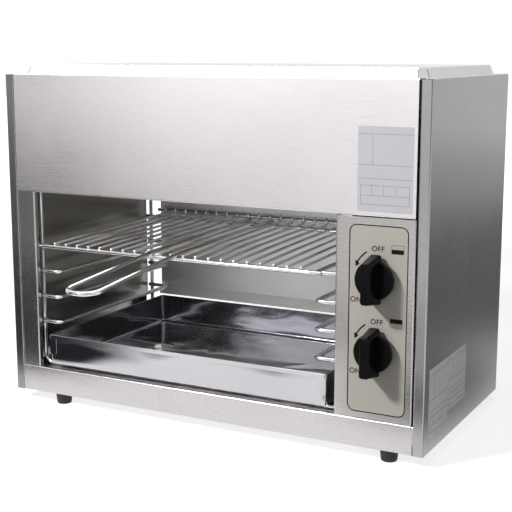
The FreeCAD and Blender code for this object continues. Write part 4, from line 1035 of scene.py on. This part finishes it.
@dataclass
class Casing(Assembly):
    """The folded sheets, the bare labels, the feet and the screws."""

    dressed: ClassVar[dict[str, tuple[str, ...]]] = {
        "hood": ("hood_front_panel",), "front": ("base_pan",), "frame": ("control_panel",),
        "pillar": ("left_pillar",), "left_side": ("left_side_panel",), "sides": ("right_side_panel",),
        "rear": ("hood_back_panel", "compartment_cover"), "lid": ("top_lid",),
        "liner": ("left_liner",), "back": ("back_liner", "partition"),
    }
    label_thickness: float = 0.15 * MM
    label_corner: float = 1.2 * MM
    rule_width: float = 0.35 * MM
    rule_sunk: float = 0.02 * MM
    rule_rise: float = 0.03 * MM
    foot_taper: float = 1.5 * MM
    foot_recess: Pair = (4.3 * MM, 5 * MM)
    recess_edge: float = 0.3 * MM
    sole_bend: float = 1.6 * MM
    foot_top_edge: float = 0.6 * MM
    foot_top_bend: float = 0.5 * MM
    head_height: float = 2.4 * MM
    shank_radius: float = 2 * MM
    shank_sunk: float = 0.1 * MM
    shank_bend: float = 0.3 * MM
    screw_groups: tuple[tuple[str, int, float], ...] = (
        ("back_screws", 1, 1.0), ("base_screws", 1, 1.0), ("foot_screws", 2, -1.0),
    )

    def rules(self, label: Array, level: float, axis: int, out: float) -> Surface:
        """Ruled lines on a label: rows across it and short columns, each a thin raised strip.

        A line's ends are low + share * (high - low), and half the rule's width is added on both
        sides in the direction in which the ends agree.

        Args:
            label: The label's low and high corner.
            level: The label's face.
            axis: The axis that the face looks along.
            out: Which way it looks, -1 or 1.

        Returns:
            All the strips.
        """
        ends = label[0] + (label[1] - label[0]) * RULES
        widen = (RULES[:, 0] == RULES[:, 1]) * self.rule_width / 2
        levels = (level - out * self.rule_sunk, level + out * self.rule_rise)
        corners = zip(ends[:, 0] - widen, ends[:, 1] + widen)
        return Surface.joined([strip(low, high, levels, axis) for low, high in corners])

    def sticker(self, label: Array, low: float, high: float, axis: int) -> Surface:
        """A thin sheet with rounded corners between two levels of an axis.

        Args:
            label: The sheet's low and high corner.
            low: The lower level.
            high: The higher level.
            axis: The axis that the sheet lies across.

        Returns:
            The sheet.
        """
        half_u, half_v = (label[1] - label[0])[:, None] / 2
        outline = rounded_rectangle(half_u, half_v, np.array([self.label_corner]), 6, (2, 2))[0]
        return slab(outline + (label[0] + label[1]) / 2, low, high, axis)

    def labels(self) -> None:
        """A bare ruled label on the hood and two bare stickers low on the right side."""
        face = Box.of("hood_front_panel").low[1]
        front = face - self.label_thickness
        self.piece("hood_label", self.sticker(LABEL, front, face, 1), "vinyl")
        self.piece("hood_label_rules", self.rules(LABEL, front, 1, -1), "rule")
        panel = Box.of("right_side_panel")
        side, out = panel.high[0], panel.high[0] + self.label_thickness
        labels = [label + (panel.low[1], 0.0) for label in STICKERS]
        stickers = [self.sticker(label, side, out, 0) for label in labels]
        self.piece("side_stickers", Surface.joined(stickers), "side_vinyl")
        rules = [self.rules(label, out, 0, 1) for label in labels]
        self.piece("side_sticker_rules", Surface.joined(rules), "rule")

    def feet(self) -> None:
        """Rubber feet, turned: a tapered wall, rounded sole and the recess for the screw."""
        made = []
        hole, depth = self.foot_recess
        for box in solids_of("feet"):
            top, height = box.size[0] / 2, box.size[2]
            sole = top - self.foot_taper
            profile = [(0.0, depth), (hole, depth), (hole, 0.0)]
            profile += rounded([(hole + self.recess_edge, 0.0), (sole, 0.0), (top, height)], self.sole_bend)
            edge = (top, height - self.foot_top_edge)
            profile += rounded([edge, (top, height), (0.0, height)], self.foot_top_bend)
            base = np.array([*box.middle[:2], box.low[2]])
            made.append(turned(profile, base, Z_AXIS))
        self.piece("rubber_feet", Surface.joined(made), "rubber", "root", "foot_rubber", "feet")

    def pan_head(self, seat: Array, axis: int, out: float, radius: float) -> Surface:
        """A pan head with a cross recess.

        The top's height at radius r and turn a is a flat dome less the recess, which is as deep as
        the point is far inside one of the cross's two arms.

        Args:
            seat: The middle of the head's seat.
            axis: The screw's axis.
            out: Which way the head looks along it, -1 or 1.
            radius: The head's radius.

        Returns:
            The closed head.
        """
        turn = np.linspace(0, 2 * math.pi, 64, endpoint=False)
        u, v = [HEAD_SHARES[:, None] * radius * way for way in (np.cos(turn), np.sin(turn))]
        arm, reach, edge = RECESS_ARM * radius, RECESS_REACH * radius, RECESS_EDGE * radius
        arms = [np.minimum(arm - np.abs(a), reach - np.abs(b)) for a, b in ((u, v), (v, u))]
        recess = np.clip(np.maximum(*arms) / edge, 0, 1) * RECESS_DEPTH
        level = HEAD_RISES[:, None] * self.head_height - recess * self.head_height
        across = np.delete(seat, axis) + np.stack([u, v], -1)
        return grid(lifted(across, seat[axis] + out * level, axis))

    def screws(self) -> None:
        """Rear and foot screws: cross-recessed heads on plain shanks."""
        for node, axis, out in self.screw_groups:
            made = []
            for box in solids_of(node):
                seat = box.middle.copy()
                seat[axis] = (box.high if out > 0 else box.low)[axis] - out * self.head_height
                made.append(self.pan_head(seat, axis, out, box.size[0] / 2))
                wide, start, tip = self.shank_radius, -self.shank_sunk, box.size[axis] - self.head_height
                profile = rounded([(0.0, start), (wide, start), (wide, tip), (0.0, tip)], self.shank_bend)
                made.append(turned(profile, seat, -out * np.eye(3)[axis], 24))
            self.piece(node + "_cross", Surface.joined(made), "screws", "root", "zinc_screw", node)

    def build(self) -> None:
        """Build and dress the casing."""
        super().build()
        self.labels()
        self.feet()
        self.screws()


class Mark(Enum):
    """Which half of a burner mark is filled."""

    UPPER = 1
    LOWER = -1


@dataclass
class ControlSide(Assembly):
    """The printed control plate, the two knobs and the taps behind them."""

    dressed: ClassVar[dict[str, tuple[str, ...]]] = {
        "plate": ("control_plate",),
        "brass": (*of_each_burner("valve_body", "tap_plug", "injector"), "gas_inlet_nipple"),
        "spring": of_each_burner("spindle"), "copper": of_each_burner("gas_pipe"),
        "knobs": of_each_burner("igniter"), "silicone": of_each_burner("ignition_lead"),
        "electrode": of_each_burner("electrode"), "zinc": ("valve_bracket", "gas_manifold"),
    }
    ink_depth: float = 0.06 * MM
    word_height: float = 5.5 * MM
    capital_share: float = 0.72
    letter_space: float = 1.05
    letter_swell: float = 0.12 * MM
    words: tuple[tuple[str, Pair], ...] = (
        ("OFF", (0.7 * MM, 30.7 * MM)), ("ON", (-22.4 * MM, -23.0 * MM)),
    )
    arrow_turn: Pair = (23.0, 64.5)
    arrow_reach: Pair = (29.0 * MM, 25.5 * MM)
    arrow_half: float = 0.8 * MM
    arrow_head: Pair = (2.9, 0.05)
    arrow_steps: int = 24
    head_steps: int = 7
    mark_place: Pair = (21.5 * MM, 31.2 * MM)
    mark_size: Pair = (13.0 * MM, 9.0 * MM)
    mark_line: float = 0.35 * MM
    # Size of the painted shadow ring that the window's edge casts on the plate.
    edge_shadow_width: float = 1.15 * MM
    edge_shadow_depth: float = 0.04 * MM
    edge_shadow_corner: float = 8 * MM
    window_low: Pair = (15.0 * MM, 6.8 * MM)
    window_high: Pair = (7.0 * MM, 7.5 * MM)
    disc_depth: float = 5.7 * MM
    knob_edge: float = 1.3 * MM
    grip_foot: Pair = (6.5 * MM, 25.5 * MM)
    grip_front: Pair = (5.1 * MM, 21.0 * MM)
    grip_corner: float = 3.0 * MM
    grip_sunk: float = 0.5 * MM
    grip_steps: int = 12
    spring_wire: float = 0.45 * MM
    spring_coils: int = 4
    coil_steps: int = 48
    push: float = 4 * MM

    def word(self, text: str, place: Array, face: float) -> Surface:
        """A word as thin raised letters, centred on a place of the plate.

        Args:
            text: The word.
            place: X and Z of its middle.
            face: The plate's face.

        Returns:
            The letters' surface.
        """
        curve = bpy.data.curves.new(text, "FONT")
        curve.body = text
        curve.size = self.word_height / self.capital_share
        curve.space_character = self.letter_space
        curve.offset = self.letter_swell
        curve.extrude = self.ink_depth / 2
        holder = add_object(text, curve)
        bpy.context.view_layer.update()
        flat = bpy.data.meshes.new_from_object(holder.evaluated_get(bpy.context.evaluated_depsgraph_get()))
        points = np.zeros(len(flat.vertices) * 3)
        flat.vertices.foreach_get("co", points)
        points = points.reshape(-1, 3)
        faces = [list(polygon.vertices) for polygon in flat.polygons]
        bpy.data.objects.remove(holder)
        across = points - (points.min(0) + points.max(0)) / 2
        return Surface(lifted(place + across[:, :2], face - self.ink_depth / 2 - across[:, 2], 1), faces)

    def arrow(self, axis: Array, face: float) -> Surface:
        """A curved arrow about a knob: a band along a slow spiral, and a head at its lower end.

        The band's middle at turn t from the top is reach(t) * (-sin t, cos t), with the reach
        changing evenly.

        Args:
            axis: X and Z of the knob's axis.
            face: The plate's face.

        Returns:
            The band.
        """
        turn = np.radians(np.linspace(*self.arrow_turn, self.arrow_steps))
        reach = np.linspace(*self.arrow_reach, self.arrow_steps)
        half = np.full(self.arrow_steps, self.arrow_half)
        half[-self.head_steps:] = np.linspace(*self.arrow_head, self.head_steps) * MM
        ring = np.stack([-np.sin(turn), np.cos(turn)], -1)
        outer, inner = [axis + ring * (reach + side)[:, None] for side in (half, -half)]
        out = face - self.ink_depth
        rows = [(outer, face), (inner, face), (inner, out), (outer, out)]
        return grid(np.stack([lifted(edge, level, 1) for edge, level in rows], 1))

    def mark(self, axis: Array, face: float, filled: Mark) -> Surface:
        """A burner mark: a thin-lined rectangle with one half filled.

        Args:
            axis: X and Z of the knob's axis.
            face: The plate's face.
            filled: The filled half.

        Returns:
            The filled half and the four lines.
        """
        width, height = self.mark_size
        low = axis + self.mark_place - np.array(self.mark_size) / 2
        line, from_z = self.mark_line, height / 2 if filled is Mark.UPPER else 0.0
        bars = [
            ((0.0, from_z), (width, from_z + height / 2)),
            ((0.0, 0.0), (line, height)), ((width - line, 0.0), (width, height)),
            ((0.0, 0.0), (width, line)), ((0.0, height - line), (width, height)),
        ]
        levels = (face - self.ink_depth, face)
        return Surface.joined([strip(low + start, low + end, levels, 1) for start, end in bars])

    def edge_shadow_ring(self, face: float) -> Surface:
        """Painted shadow round the plate where the window's edge shades it: a thin flat dark ring of ink.

        Args:
            face: The plate's face.

        Returns:
            The ring.
        """
        panel = Box.of("control_panel")
        low, high = panel.low[[0, 2]] + self.window_low, panel.high[[0, 2]] - self.window_high
        inset = np.array([0.0, self.edge_shadow_width])
        half_u, half_v = (high - low)[:, None] / 2 - inset
        rings = rounded_rectangle(half_u, half_v, self.edge_shadow_corner - inset, 10, (2, 2))
        outer, inner = rings + (low + high) / 2
        out = face - self.edge_shadow_depth
        rows = [(outer, face), (inner, face), (inner, out), (outer, out), (outer, face)]
        return grid(np.stack([lifted(ring, level, 1) for ring, level in rows]), capped=False)

    def printing(self) -> None:
        """Print the plate: OFF and ON, an arrow and a burner mark for each knob."""
        face = Box.of("control_plate").low[1]
        printed = []
        for node, filled in (("front_knob", Mark.LOWER), ("rear_knob", Mark.UPPER)):
            axis = Box.of(node).middle[[0, 2]]
            printed += [self.word(text, axis + place, face) for text, place in self.words]
            printed += [self.arrow(axis, face), self.mark(axis, face, filled)]
        self.piece("plate_printing", Surface.joined(printed), "ink")
        # Painted shadow: a dark ink ring where the window's edge shades the plate.
        self.piece("window_edge_shadow", self.edge_shadow_ring(face), "ink")

    def grip(self, middle: Array, length: float, back: float) -> Surface:
        """The knob's wedge grip.

        Its section at depth s is a rounded rectangle whose half sizes shrink evenly from foot to
        front; over the last millimetre they also shrink by e * (1 - cos t) while s grows by
        e * sin t, which rounds the front edge.

        Args:
            middle: The middle of the knob's box.
            length: The grip's length from foot to front.
            back: Where its foot is.

        Returns:
            The closed grip.
        """
        edge = self.knob_edge
        turn = np.linspace(0, math.pi / 2, 7)[1:]
        straight = length - edge
        even = np.linspace(0, 1, self.grip_steps) * straight
        depth = np.concatenate([even, straight + edge * np.sin(turn)])
        shrink = np.concatenate([np.zeros(self.grip_steps), edge * (1 - np.cos(turn))])
        half_u, half_v = [
            foot + (front - foot) * (depth / length) - shrink
            for foot, front in zip(self.grip_foot, self.grip_front)
        ]
        outline = rounded_rectangle(half_u, half_v, self.grip_corner - shrink, 8, (3, 10))
        return grid(lifted(middle[[0, 2]] + outline, (back - depth)[:, None], 1))

    def knobs(self) -> None:
        """Build each knob: a turned disc with a rounded rim, and the wedge grip across it."""
        for name in ("front_knob", "rear_knob"):
            box = Box.of(name)
            back, radius, deep = box.high[1], box.size[0] / 2, self.disc_depth
            profile = rounded([(0.0, 0.0), (radius, 0.0), (radius, deep), (0.0, deep)], self.knob_edge, 8)
            disc = turned(profile, np.array([box.middle[0], back, box.middle[2]]), -Y_AXIS, 96)
            grip = self.grip(box.middle, box.size[1] - self.grip_sunk, back - self.grip_sunk)
            knob = Surface.joined([disc, grip])
            self.piece(name + "_moulding", knob, "knobs", name, "black_plastic", name, 30.0)

    def springs(self) -> None:
        """Build each tap's spring as a coil that rides on its tap; the real one flattens towards its seat as
        the knob is pushed, this one keeps its shape.
        """
        for tap in BURNERS:
            node = tap + "_tap_spring"
            box, thin = Box.of(node), self.spring_wire
            middle, radius = box.middle, box.size[0] / 2 - thin
            steps = self.spring_coils * self.coil_steps + 1
            turn = np.linspace(0, self.spring_coils * 2 * math.pi, steps)
            y = np.linspace(box.low[1] + thin, box.high[1] - thin, steps)
            path = np.stack([middle[0] + radius * np.cos(turn), y, middle[2] + radius * np.sin(turn)], -1)
            coil = wire(path, thin, Y_AXIS, 10)
            spring = self.piece(tap + "_spring_coil", coil, "spring", tap + "_tap", "spring_steel", node)
            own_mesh(spring)

    def build(self) -> None:
        """Build and dress the control side."""
        super().build()
        self.printing()
        self.knobs()
        self.springs()


@dataclass
class WireWork(Assembly):
    """The fixed uprights and runners, and the sliding rack with its handle."""

    wire_radius: float = 2.5 * MM
    rod_radius: float = 1.5 * MM
    bend: float = 6 * MM
    hoop_bend: float = 12 * MM
    bar_end: float = 0.4 * MM
    rod_end: float = 9.5 * MM
    leg_gap: int = 8
    leg_span: int = 2
    tip_half: float = 18.5 * MM
    handle_bends: tuple[float, ...] = (20 * MM, 16 * MM, 16 * MM, 20 * MM)
    weld_sunk: float = 1.2 * MM
    weld: tuple[Pair, ...] = ((0, 0), (2.4, 0), (2.3, 0.6), (1.8, 1.1), (0, 1.3))

    def chrome(self, name: str, surface: Surface, body: str, node: str, finish: str = "wires") -> None:
        """Make a chromed piece that stands for a node."""
        self.piece(name, surface, finish, body, "chrome_wire", node)

    def hoops(self) -> None:
        """Uprights that run on under the tray, one wire each."""
        for node in ("front_wire_hoop", "rear_wire_hoop"):
            box = Box.of(node)
            r, y, high = self.wire_radius, box.middle[1], box.high[2]
            x0, x1, low = box.low[0] + r, box.high[0] - r, box.low[2] + r
            corners = np.array([(x0, y, high), (x0, y, low), (x1, y, low), (x1, y, high)])
            hoop = wire(route(corners, [self.hoop_bend] * 2), r, Y_AXIS)
            self.chrome(node + "_round", hoop, "root", node)

    def runners(self) -> None:
        """Runners along both sides, each from the front upright to the rear one."""
        for node, side in (("left_runners", 1), ("right_runners", -1)):
            made = []
            for box in solids_of(node):
                r, z = self.wire_radius, box.middle[2]
                end, x = (box.low[0], box.high[0] - r) if side > 0 else (box.high[0], box.low[0] + r)
                y0, y1 = box.low[1] + r, box.high[1] - r
                corners = np.array([(end, y0, z), (x, y0, z), (x, y1, z), (end, y1, z)])
                made.append(wire(route(corners, [self.bend] * 2), r, Z_AXIS))
            self.chrome(node + "_round", Surface.joined(made), "root", node)

    def bar(self, box: Box) -> Surface:
        """A straight cross bar in a box.

        Args:
            box: The box of the bar's solid.

        Returns:
            The bar.
        """
        start, end = box.middle, box.middle
        start[0], end[0] = box.low[0] + self.bar_end, box.high[0] - self.bar_end
        return wire(np.linspace(start, end, 24), self.wire_radius, Z_AXIS)

    def rods(self) -> Surface:
        """Make the rack's rods, each with its rear end turned up.

        Returns:
            All the rods.
        """
        made = []
        for box in solids_of("rack_rods"):
            r, x = self.rod_radius, box.middle[0]
            rear, top = box.high[1] - r, box.high[2]
            front = (x, box.low[1], box.low[2] + r)
            corners = np.array([front, (x, rear, top - self.rod_end), (x, rear, top)])
            made.append(wire(route(corners, [2 * r]), r, X_AXIS, 14))
        return Surface.joined(made)

    def handle(self) -> Surface:
        """The loop handle: legs on the cross bars between rods, spread and drooping in front.

        Returns:
            The handle.
        """
        box, bar = Box.of("rack_handle"), Box.of("rack_front_bar")
        rods = [solid.middle[0] for solid in solids_of("rack_rods")]
        x0 = (rods[self.leg_gap] + rods[self.leg_gap + 1]) / 2
        x1 = x0 + (rods[1] - rods[0]) * self.leg_span
        r, middle = self.wire_radius, (x0 + x1) / 2
        rear = (box.high[1], box.high[2] - r)
        front = (bar.middle[1] - 2 * r, bar.high[2] + r)
        tip = (box.low[1] + r, box.low[2] + r)
        corners = np.array([
            (x0, *rear), (x0, *front), (middle - self.tip_half, *tip),
            (middle + self.tip_half, *tip), (x1, *front), (x1, *rear),
        ])
        return wire(route(corners, list(self.handle_bends), math.radians(5)), r, Z_AXIS, 24)

    def welds(self) -> Surface:
        """Small weld beads where each rod crosses the front bar: flattened domes beside the rod.

        Returns:
            All the beads.
        """
        bar = Box.of("rack_front_bar")
        profile = [(r * MM, h * MM) for r, h in self.weld]
        bases = [
            np.array([box.middle[0], bar.middle[1], bar.high[2] - self.weld_sunk])
            for box in solids_of("rack_rods")
        ]
        return Surface.joined([turned(profile, base, Z_AXIS, 14) for base in bases])

    def build(self) -> None:
        """Build the wires."""
        self.hoops()
        self.runners()
        front_bar = Surface.joined([self.bar(Box.of("rack_front_bar")), self.welds()])
        self.chrome("rack_front_bar_welded", front_bar, "rack", "rack_front_bar")
        rear_bars = Surface.joined([self.bar(box) for box in solids_of("rack_rear_bars")])
        self.chrome("rack_rear_bars_round", rear_bars, "rack", "rack_rear_bars")
        self.chrome("rack_rods_round", self.rods(), "rack", "rack_rods", "rods")
        self.chrome("rack_handle_loop", self.handle(), "rack", "rack_handle")


@dataclass
class DripTray(Assembly):
    """A shallow pan of thin bright sheet with a hemmed rim, slightly creased."""

    sheet: float = 0.8 * MM
    rim: float = 4.5 * MM
    lean: float = 0.5 * MM
    side_lean: float = 0.8 * MM
    belly: float = 0.3 * MM
    bend: float = 3.5 * MM
    corner: float = 2.2 * MM
    corner_loss: float = 0.15
    smallest_corner: float = 0.4 * MM
    hem_edge: float = 0.3 * MM
    groove: float = 0.2 * MM
    middle_gap: float = 1.2 * MM
    ring_step: float = 4.5 * MM
    runs: tuple[int, int] = (84, 56)
    floor_wave: Pair = (75 * MM, 0.32 * MM)
    front_wave: Pair = (26 * MM, 0.22 * MM)
    wall_wave: Pair = (90 * MM, 0.30 * MM)
    wall_squeeze: float = 1.5
    front_reach: float = 90 * MM
    edge_band: float = 12 * MM
    wall_fade: float = 8 * MM
    belly_band: float = 6 * MM
    tab_half: float = 4.5 * MM
    tab_drop: float = 15 * MM
    tab_sunk: float = 0.1 * MM
    tab_rise: float = 0.55 * MM

    def section(self, half: float, high: float) -> tuple[Array, Array]:
        """The tray's section, from the floor's middle over the hem and back under the floor.

        It runs out over the inner bend, up the inner wall, over the hem and back down outside to
        the middle of the underside, in even steps.

        Args:
            half: Half the tray's depth from front to rear.
            high: The tray's height.

        Returns:
            Each point's inset from the rim's outside, and its height.
        """
        t, b, wall, hem = self.sheet, self.bend, high - self.rim, high - self.hem_edge
        foot, depth = self.lean + t, half - self.middle_gap
        points = rounded([(depth, t), (foot + t, t), (2 * t, wall)], b - t, 6)[:-1]
        points += [(2 * t, wall), (2 * t, hem), (1.6 * t, high), (0.4 * t, high), (0.0, hem), (0.0, wall)]
        points += rounded([(t, wall - self.groove), (foot, 0.0), (depth, 0.0)], b, 6)
        section = np.array(points)
        even = []
        for start, end in zip(section, section[1:]):
            steps = max(1, int(math.hypot(*(end - start)) / self.ring_step))
            even.append(start + (end - start) * (np.arange(steps) / steps)[:, None])
        inset, height = np.vstack([*even, section[-1:]]).T
        return inset, height

    def pan(self, box: Box) -> Surface:
        """The pan: rings of one rounded rectangle that follow its section.

        Each point of the section has an inset and a height, and its ring is the rim's rectangle
        less that inset. Ripples then lift the floor, more towards the front, and dent the walls.

        Args:
            box: The tray's box.

        Returns:
            The closed pan.
        """
        half, centre = box.size / 2, box.middle
        wall = box.size[2] - self.rim
        inset, height = self.section(half[1], box.size[2])
        radius = np.maximum(self.corner - inset * self.corner_loss, self.smallest_corner)
        across = inset - (self.lean - self.side_lean) * np.clip((wall - height) / wall, 0, 1)
        rings = rounded_rectangle(half[0] - across, half[1] - inset, radius, 5, self.runs)
        x, y = rings[..., 0], rings[..., 1]
        height = height[:, None]
        floor_edge = self.lean + self.sheet + self.bend
        on_floor = np.clip((inset - floor_edge) / self.edge_band, 0, 1)[:, None]
        on_wall = np.clip(np.stack([wall - height, height]) / self.wall_fade, 0, 1).prod(0)
        near_front = np.clip(1 - (y + half[1]) / self.front_reach, 0, 1)
        lift = ripples(x, y, self.floor_wave[0], 5) * self.floor_wave[1]
        lift = lift + ripples(x, y, self.front_wave[0], 8) * self.front_wave[1] * near_front
        squeezed = height * self.wall_squeeze + 0 * x
        dent = ripples(x + y, squeezed, self.wall_wave[0], 3) * self.wall_wave[1] * on_wall
        swell = np.sin(np.pi * np.clip(height / wall, 0, 1)) * (y < self.belly_band - half[1])
        return grid(np.stack([
            centre[0] + x + np.sign(x) * dent * (np.abs(x) > half[0] - self.edge_band),
            centre[1] + y - self.belly * swell + np.sign(y) * dent * (np.abs(y) > half[1] - self.edge_band),
            box.low[2] + height + np.abs(lift) * on_floor,
        ], -1))

    def tabs(self, box: Box) -> list[Surface]:
        """The tabs that lap round the front corners: thin tongues on the leaning front wall.

        Args:
            box: The tray's box.

        Returns:
            The two tabs.
        """
        wall_height, half = box.size[2] - self.rim, self.tab_half
        angle = np.linspace(math.pi, 2 * math.pi, 13)
        tongue = np.stack([half * np.cos(angle), -self.tab_drop + half * np.sin(angle)], -1)
        tongue = np.vstack([[(half, 0.0), (-half, 0.0)], tongue])
        wall = box.low[1] + self.sheet - tongue[:, 1] * self.lean / wall_height
        made = []
        for x in (box.low[0] + self.side_lean + half, box.high[0] - self.side_lean - half):
            outline = tongue + (x, box.high[2] - self.rim)
            levels = (wall + self.tab_sunk, wall - self.tab_rise)
            made.append(grid(np.stack([lifted(outline, level, 1) for level in levels])))
        return made

    def build(self) -> None:
        """Build the tray with its tabs."""
        box = Box.of("drip_tray")
        tray = Surface.joined([self.pan(box), *self.tabs(box)])
        self.piece("drip_tray_pan", tray, "tray", "tray", "tray_steel", "drip_tray", 32.0)


@dataclass
class Burners(Assembly):
    """Housings, plaques and gauze under the hood, with the tubes that feed them."""

    dressed: ClassVar[dict[str, tuple[str, ...]]] = {
        "burner": of_each_burner("burner_housing"), "plaques": of_each_burner("burner_plaques"),
        "gauze": of_each_burner("burner_gauze"),
        "zinc": (*of_each_burner("mixing_tube"), "burner_rails", "burner_heat_shield"),
    }


# The studio


@dataclass(frozen=True)
class Card:
    """A card outside the picture that only reflections see, with soft edges."""

    name: str
    place: Place
    facing: Place
    size: Pair
    shade: Colour
    softness: float = 0.5

    def build(self) -> None:
        """Stand the card up: a plane whose shade fades out towards its edges."""
        material, tree = new_material(self.name)
        share = tree.ramp(tree.far_off(tree.place()), 1.0 - self.softness, 1.0, 1.0, 0.0)
        paint = tree.add("ShaderNodeEmission", {0: (*self.shade, 1.0), 1: 1.0})
        clear = tree.add("ShaderNodeBsdfTransparent")
        shaders = {0: share, 1: clear.outputs[0], 2: paint.outputs[0]}
        tree.close(tree.add("ShaderNodeMixShader", shaders))
        card = add_square(self.name, 1, material)
        card.location = self.place
        card.scale = (self.size[0] / 2, self.size[1] / 2, 1)
        card.rotation_euler = Vector(self.facing).to_track_quat("Z", "Y").to_euler()
        card.visible_camera = card.visible_diffuse = card.visible_shadow = False


@dataclass(frozen=True)
class Lamp:
    """A soft rectangular lamp."""

    name: str
    place: Place
    target: Place
    size: Pair
    watts: float
    colour: Colour = (1.0, 1.0, 1.0)

    def build(self) -> None:
        """Hang the lamp."""
        data = bpy.data.lights.new(self.name, "AREA")
        data.shape = "RECTANGLE"
        data.size, data.size_y = self.size
        data.energy = self.watts
        data.color = self.colour
        lamp = add_object(self.name, data)
        lamp.location = self.place
        way = Vector(self.target) - Vector(self.place)
        lamp.rotation_euler = way.to_track_quat("-Z", "Y").to_euler()


@dataclass
class Studio:
    """A pale floor, a white surround, soft lamps, reflection cards and the camera."""

    camera_place: Place = (0.6098, -1.09405, 0.4189)
    camera_yaw: float = 27.70
    camera_pitch: float = 10.45
    lens: float = 78.55
    sensor: float = 36.0
    floor_half: float = 7.0
    floor_colours: tuple[Colour, Colour] = ((0.86, 0.86, 0.86), (0.84, 0.84, 0.84))
    floor_unseen: Colour = (0.40, 0.40, 0.40)
    floor_fade: Pair = (0.6, 1.7)
    floor_glow: float = 1.3
    floor_share: float = 0.6
    surround: float = 0.16
    lamps: tuple[Lamp, ...] = (
        Lamp("key", (-0.73, -1.38, 1.33), (0.1, 0.0, 0.2), (0.24, 0.24), 48.0, (1.0, 0.985, 0.965)),
        Lamp("overhead", (0.0, -0.35, 1.9), (0.0, 0.0, 0.2), (1.6, 1.2), 13.0),
        Lamp("fill", (1.7, -1.6, 0.9), (0.0, 0.0, 0.2), (1.2, 1.2), 2.5, (0.97, 0.98, 1.0)),
    )
    # Every card paints a reflection and lights or shades nothing: the dark cards are painted shade in the
    # gloss, the softbox card a painted highlight.
    cards: tuple[Card, ...] = (
        Card("floor_shade_left", (-0.72, -0.58, 0.004), (0, 0, 1), (1.2, 1.1), (0.03, 0.03, 0.03), 0.3),
        Card("floor_shade_near", (-0.34, -0.23, 0.005), (0, 0, 1), (0.30, 0.22), (0.03, 0.03, 0.035)),
        Card("curtain_low", (-1.15, -0.95, 0.08), (0.75, 0.65, 0), (1.1, 0.56), (0.03, 0.03, 0.03)),
        Card("curtain_high", (-1.15, -0.95, 0.62), (0.75, 0.65, 0), (1.2, 0.60), (0.03, 0.03, 0.03)),
        Card("softbox_reflection", (-1.40, -2.25, 0.50), (0.5, 0.85, 0), (1.5, 0.9), (1.40, 1.34, 1.42), 0.6),
        Card("floor_shade_middle", (-0.06, -0.60, 0.003), (0, 0, 1), (0.9, 0.56), (0.40, 0.40, 0.40)),
        Card("floor_shade_corner", (0.20, -0.27, 0.005), (0, 0, 1), (0.30, 0.26), (0.12, 0.12, 0.12), 0.6),
        Card("floor_grey_front", (-0.55, -1.50, 0.003), (0, 0, 1), (1.4, 1.0), (0.38, 0.37, 0.37), 0.6),
        Card("floor_shade_right", (0.62, 1.0, 0.004), (0, 0, 1), (1.0, 2.4), (0.15, 0.15, 0.155), 0.45),
        Card("floor_grey_beside", (0.40, 0.15, 0.005), (0, 0, 1), (0.34, 0.70), (0.20, 0.20, 0.205)),
        Card("floor_grey_right", (1.3, 2.5, 0.002), (0, 0, 1), (2.4, 3.0), (0.45, 0.45, 0.46), 0.4),
        Card("wall_grey_right", (2.4, 6.0, 0.7), (-0.3, -1, 0), (7.0, 2.4), (0.80, 0.79, 0.81), 0.4),
        Card("behind_camera", (1.3, -1.9, 0.5), (-0.55, 0.83, -0.1), (2.8, 2.0), (0.04, 0.04, 0.04)),
    )

    def seen_rays(self, tree: Tree) -> Socket:
        """Tell the rays that see the background, straight on or in gloss or glass.

        Args:
            tree: The tree that asks.

        Returns:
            1 for those rays and 0 for the rest.
        """
        path = tree.add("ShaderNodeLightPath").outputs
        seen = tree.calc("MAXIMUM", path["Is Camera Ray"], path["Is Glossy Ray"])
        return tree.calc("MAXIMUM", seen, path["Is Transmission Ray"])

    def world(self) -> None:
        """A surround that lights softly and is seen as white."""
        world = bpy.data.worlds.new("surround")
        bpy.context.scene.world = world
        world.use_nodes = True
        world.node_tree.nodes.clear()
        tree = Tree(world.node_tree)
        strength = tree.ramp(self.seen_rays(tree), 0.0, 1.0, self.surround, 1.0)
        light = tree.add("ShaderNodeBackground", {0: WHITE, 1: strength})
        tree.add("ShaderNodeOutputWorld", {0: light.outputs[0]})

    def floor(self) -> None:
        """A pale floor that keeps the grill's shadow and runs out into the white surround."""
        material, tree = new_material("pale_floor")
        place, seen = tree.place(), self.seen_rays(tree)
        noise = tree.use("cloud", Place=place, Scale=2.0, Low=0.3, High=0.7)
        colour = tree.mix(noise, *self.floor_colours)
        matt = tree.add("ShaderNodeBsdfDiffuse", {0: tree.mix(seen, self.floor_unseen, colour)})
        camera = tree.add("ShaderNodeLightPath").outputs["Is Camera Ray"]
        far = tree.ramp(tree.far_off(place), *self.floor_fade, 0.0, 1.0)
        far = tree.calc("MULTIPLY", far, camera)
        glow = tree.add("ShaderNodeEmission", {0: WHITE, 1: self.floor_glow})
        share = tree.calc("MAXIMUM", tree.calc("MULTIPLY", seen, self.floor_share), far)
        shaders = {0: share, 1: matt.outputs[0], 2: glow.outputs[0]}
        tree.close(tree.add("ShaderNodeMixShader", shaders))
        add_square("floor", self.floor_half, material)

    def camera(self) -> None:
        """The camera at the photograph's viewing angle."""
        data = bpy.data.cameras.new("camera")
        data.lens = self.lens
        data.sensor_width = self.sensor
        camera = add_object("camera", data)
        camera.location = self.camera_place
        camera.rotation_euler = np.radians([90 - self.camera_pitch, 0.0, self.camera_yaw])
        bpy.context.scene.camera = camera

    def build(self) -> None:
        """Set the studio up."""
        bpy.context.scene.view_settings.view_transform = "Standard"
        self.world()
        self.floor()
        for thing in (*self.lamps, *self.cards):
            thing.build()
        self.camera()


def main() -> None:
    """Build the studio and the grill's looks."""
    logging.basicConfig(level=logging.INFO, format="%(message)s")
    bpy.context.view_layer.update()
    Studio().build()
    finishes: dict[str, Material] = {}
    for assembly in (Casing, ControlSide, WireWork, DripTray, Burners):
        assembly(finishes).build()


if __name__ == "__main__":
    main()
